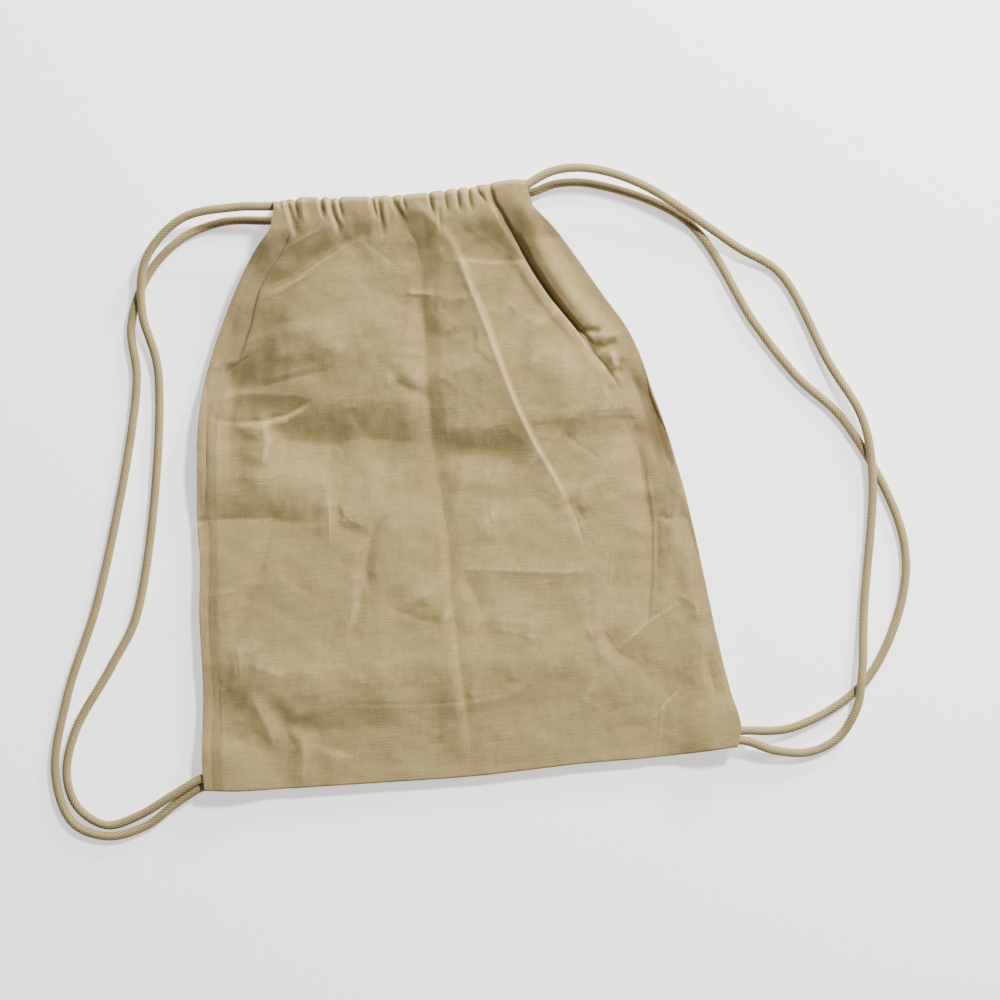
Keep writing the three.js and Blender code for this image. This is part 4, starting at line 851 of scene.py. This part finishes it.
backPanelForm = {
    "node": "back_panel", "side": -1, "columns": 240, "bodyRows": 150, "neckRows": 33,
    "wallRows": 9, "guides": backGuides, "height": backForm, "creases": backCreases,
    "inner": layer["backInner"], "restsOn": ["floor"],
}
frontPanelForm = {
    "node": "front_panel", "side": 1, "columns": 288, "bodyRows": 225, "neckRows": 45,
    "wallRows": 12, "guides": frontGuides, "height": frontForm, "creases": frontCreases,
    "inner": layer["frontInner"], "restsOn": ["back_panel_cloth"],
}
floorCorners = 20000.0 * np.array([[-1, -1, 0], [1, -1, 0], [1, 1, 0], [-1, 1, 0]])
floor = makeObject("floor", floorCorners, [[0, 1, 2, 3]])
backPanel = panelObject("back_panel_cloth", backPanelForm)
frontPanel = panelObject("front_panel_cloth", frontPanelForm)


# Materials

# Wraps a shader socket, so that sums and products of sockets and numbers read as arithmetic.
class Signal:
    def __init__(self, graph, socket):
        self.graph = graph
        self.socket = socket

    def combine(self, operation, first, second):
        return self.graph.make("ShaderNodeMath", {"operation": operation}, {0: first, 1: second})

    def __add__(self, other):
        return self.combine("ADD", self, other)

    def __sub__(self, other):
        return self.combine("SUBTRACT", self, other)

    def __mul__(self, other):
        return self.combine("MULTIPLY", self, other)

    def __rsub__(self, other):
        return self.combine("SUBTRACT", other, self)

    __radd__ = __add__
    __rmul__ = __mul__


class Graph:
    def __init__(self, name):
        self.material = bpy.data.materials.new(name)
        self.material.use_nodes = True
        self.tree = self.material.node_tree
        self.tree.nodes.clear()

    def make(self, kind, settings=None, inputs=None, output=0):
        node = self.tree.nodes.new(kind)
        for key, value in (settings or {}).items():
            setattr(node, key, value)
        for key, value in (inputs or {}).items():
            if isinstance(value, Signal):
                self.tree.links.new(value.socket, node.inputs[key])
            else:
                node.inputs[key].default_value = value
        return Signal(self, node.outputs[output]) if node.outputs else None

    # A smooth step from 0 at low to 1 at high
    def ramp(self, value, low, high):
        return self.make("ShaderNodeMapRange", {"interpolation_type": "SMOOTHSTEP"},
                         {"Value": value, "From Min": low, "From Max": high})

    def blend(self, share, a, b):
        return self.make("ShaderNodeMix", {"data_type": "RGBA"}, {0: share, 6: a, 7: b}, 2)

    def attribute(self, name):
        return self.make("ShaderNodeAttribute", {"attribute_name": name}, None, 2)

    def noise(self, place, scale, detail=2.0, stretch=(1, 1, 1)):
        scaled = self.make("ShaderNodeVectorMath", {"operation": "MULTIPLY"},
                           {0: place, 1: stretch})
        return self.make("ShaderNodeTexNoise", None,
                         {"Vector": scaled, "Scale": scale, "Detail": detail})

    # look gives bump, the relief's depth in metres, sheen and glow. height drives the relief.
    def finish(self, look, color, roughness, height, glowColor=(1, 1, 1, 1)):
        normal = self.make("ShaderNodeBump", None,
                           {"Height": height, "Strength": 1.0, "Distance": look["bump"]})
        shader = self.make("ShaderNodeBsdfPrincipled", None, {
            "Base Color": color, "Roughness": roughness, "Normal": normal,
            "Sheen Weight": look["sheen"], "Sheen Roughness": 0.5, "Specular IOR Level": 0.25,
            "Emission Color": glowColor, "Emission Strength": look["glow"]})
        self.make("ShaderNodeOutputMaterial", None, {"Surface": shader})
        return self.material


# The colours for the valleys, the crests and the deepest valleys are painted light: shade, a
# highlight and a glow; glow is the strength of that painted glow
calicoLook = {
    "threadPitch": 0.00062, "bump": 0.00022, "sheen": 0.12, "glow": 0.35,
    "warm": (0.232, 0.168, 0.060, 1), "light": (0.375, 0.284, 0.118, 1),
    "seam": (0.42, 0.25, 0.12, 1), "paintedShade": (0.23, 0.145, 0.04, 1),
    "paintedHighlight": (0.52, 0.42, 0.22, 1), "fleck": (0.13, 0.07, 0.025, 1),
    "paintedGlow": (0.42, 0.25, 0.05, 1),
}


# Plain weave with slubs along and across it, patches, flecks and warmer seams, painted shade in
# the valleys and a painted highlight on the crests. A painted glow in the deepest valleys stands
# in for light that comes through the cloth.
def calicoMaterial(name, look):
    graph = Graph(name)
    place = graph.make("ShaderNodeTexCoord", output=2)
    threads = []
    for axis in (0, 1):
        along = graph.make("ShaderNodeSeparateXYZ", None, {0: place}, axis)
        turns = along * (2 * math.pi / look["threadPitch"])
        threads.append(graph.make("ShaderNodeMath", {"operation": "SINE"}, {0: turns}))
    weave = threads[0] * threads[1]
    weft = graph.noise(place, 900.0, 2.0, (0.08, 1.0, 1.0))
    warp = graph.noise(place, 900.0, 2.0, (1.0, 0.08, 1.0))
    patches = graph.noise(place, 22.0, 3.0)
    cloudy = graph.noise(place, 160.0, 3.0)
    flecks = graph.ramp(graph.noise(place, 520.0, 1.0), 0.70, 0.77)
    tone = patches * 0.28 + weft * 0.36 + warp * 0.22 + cloudy * 0.14
    paintedShading = graph.attribute("paintedShading")
    color = graph.blend(graph.ramp(tone, 0.2, 0.8), look["warm"], look["light"])
    color = graph.blend(graph.attribute("tint") * cloudy * 0.4, color, look["seam"])
    # painted shade in the valleys
    color = graph.blend(graph.ramp(paintedShading, 0.05, 1.2) * 0.4, color, look["paintedShade"])
    # painted highlight on the crests
    color = graph.blend(graph.ramp(0.0 - paintedShading, 0.05, 1.1) * 0.4, color, look["paintedHighlight"])
    color = graph.blend(flecks * 0.55, color, look["fleck"])
    height = weave * 0.35 + weft * 1.1 + warp * 0.8 + cloudy * 0.5
    # painted glow: emission in the deepest valleys, in the place of light that comes through the
    # cloth
    glow = graph.blend(graph.ramp(paintedShading, 1.0, 4.0), (0, 0, 0, 1), look["paintedGlow"])
    return graph.finish(look, color, 0.86 + patches * 0.1, height, glow)


# groove is the painted shade between the strands
braidLook = {"bump": 0.00025, "sheen": 0.15, "glow": 0.0, "dark": (0.29, 0.215, 0.09, 1),
             "light": (0.46, 0.36, 0.175, 1), "groove": (0.17, 0.12, 0.05, 1)}


# Fibres and patches, with painted shade in the grooves between the strands
def braidMaterial(name, look):
    graph = Graph(name)
    place = graph.make("ShaderNodeTexCoord", output=2)
    fibres = graph.noise(place, 2200.0, 2.0, (1.0, 0.35, 1.0))
    tone = fibres * 0.7 + graph.noise(place, 60.0, 2.0) * 0.5 - 0.1
    color = graph.blend(graph.ramp(tone, 0.2, 0.8), look["dark"], look["light"])
    # painted shade in the grooves, where the ridge attribute is low
    color = graph.blend(graph.ramp(graph.attribute("ridge"), 0.35, 0.85), look["groove"], color)
    return graph.finish(look, color, 0.84 + fibres * 0.1, fibres)


floorLook = {"bump": 0.00001, "sheen": 0.0, "glow": 0.8, "color": (0.93, 0.93, 0.93, 1)}


# Matte white, with a faint mottle
def floorMaterial(name, look):
    graph = Graph(name)
    mottle = graph.noise(graph.make("ShaderNodeTexCoord", output=3), 3.0)
    return graph.finish(look, look["color"], 0.8 + mottle * 0.05, mottle)


calico = calicoMaterial("calico", calicoLook)
cordBraid = braidMaterial("braid", braidLook)
for piece, material in ((frontPanel, calico), (backPanel, calico), (leftCord, cordBraid),
                        (rightCord, cordBraid), (floor, floorMaterial("ground", floorLook))):
    piece.data.materials.append(material)
print("materials made")


# Light

# Degrees, metres and watts: a key lamp from the upper right and a wide one that rakes low across
# the folds, with an even white world
lamps = {
    "key": {"direction": 48, "elevation": 47, "distance": 2.4, "size": 0.34, "power": 116},
    "rake": {"direction": 52, "elevation": 19, "distance": 2.4, "size": 0.5, "power": 94},
}
worldLight = {"color": (1, 1, 1, 1), "strength": 0.24}


# A round lamp that shines at the middle of the bag from its direction and elevation
def addLamp(name, form):
    light = bpy.data.lights.new(name, "AREA")
    light.shape = "DISK"
    light.size = form["size"]
    light.energy = form["power"]
    lamp = bpy.data.objects.new(name, light)
    turn, lift = math.radians(form["direction"]), math.radians(form["elevation"])
    lamp.location = (form["distance"] * math.cos(lift) * math.cos(turn),
                     form["distance"] * math.cos(lift) * math.sin(turn),
                     form["distance"] * math.sin(lift))
    lamp.rotation_euler = (math.pi / 2 - lift, 0, turn + math.pi / 2)
    bpy.context.collection.objects.link(lamp)


for name, form in lamps.items():
    addLamp(name, form)
world = bpy.data.worlds.new("world")
world.use_nodes = True
background = world.node_tree.nodes["Background"]
background.inputs["Color"].default_value = worldLight["color"]
background.inputs["Strength"].default_value = worldLight["strength"]
bpy.context.scene.world = world
print("lights made")
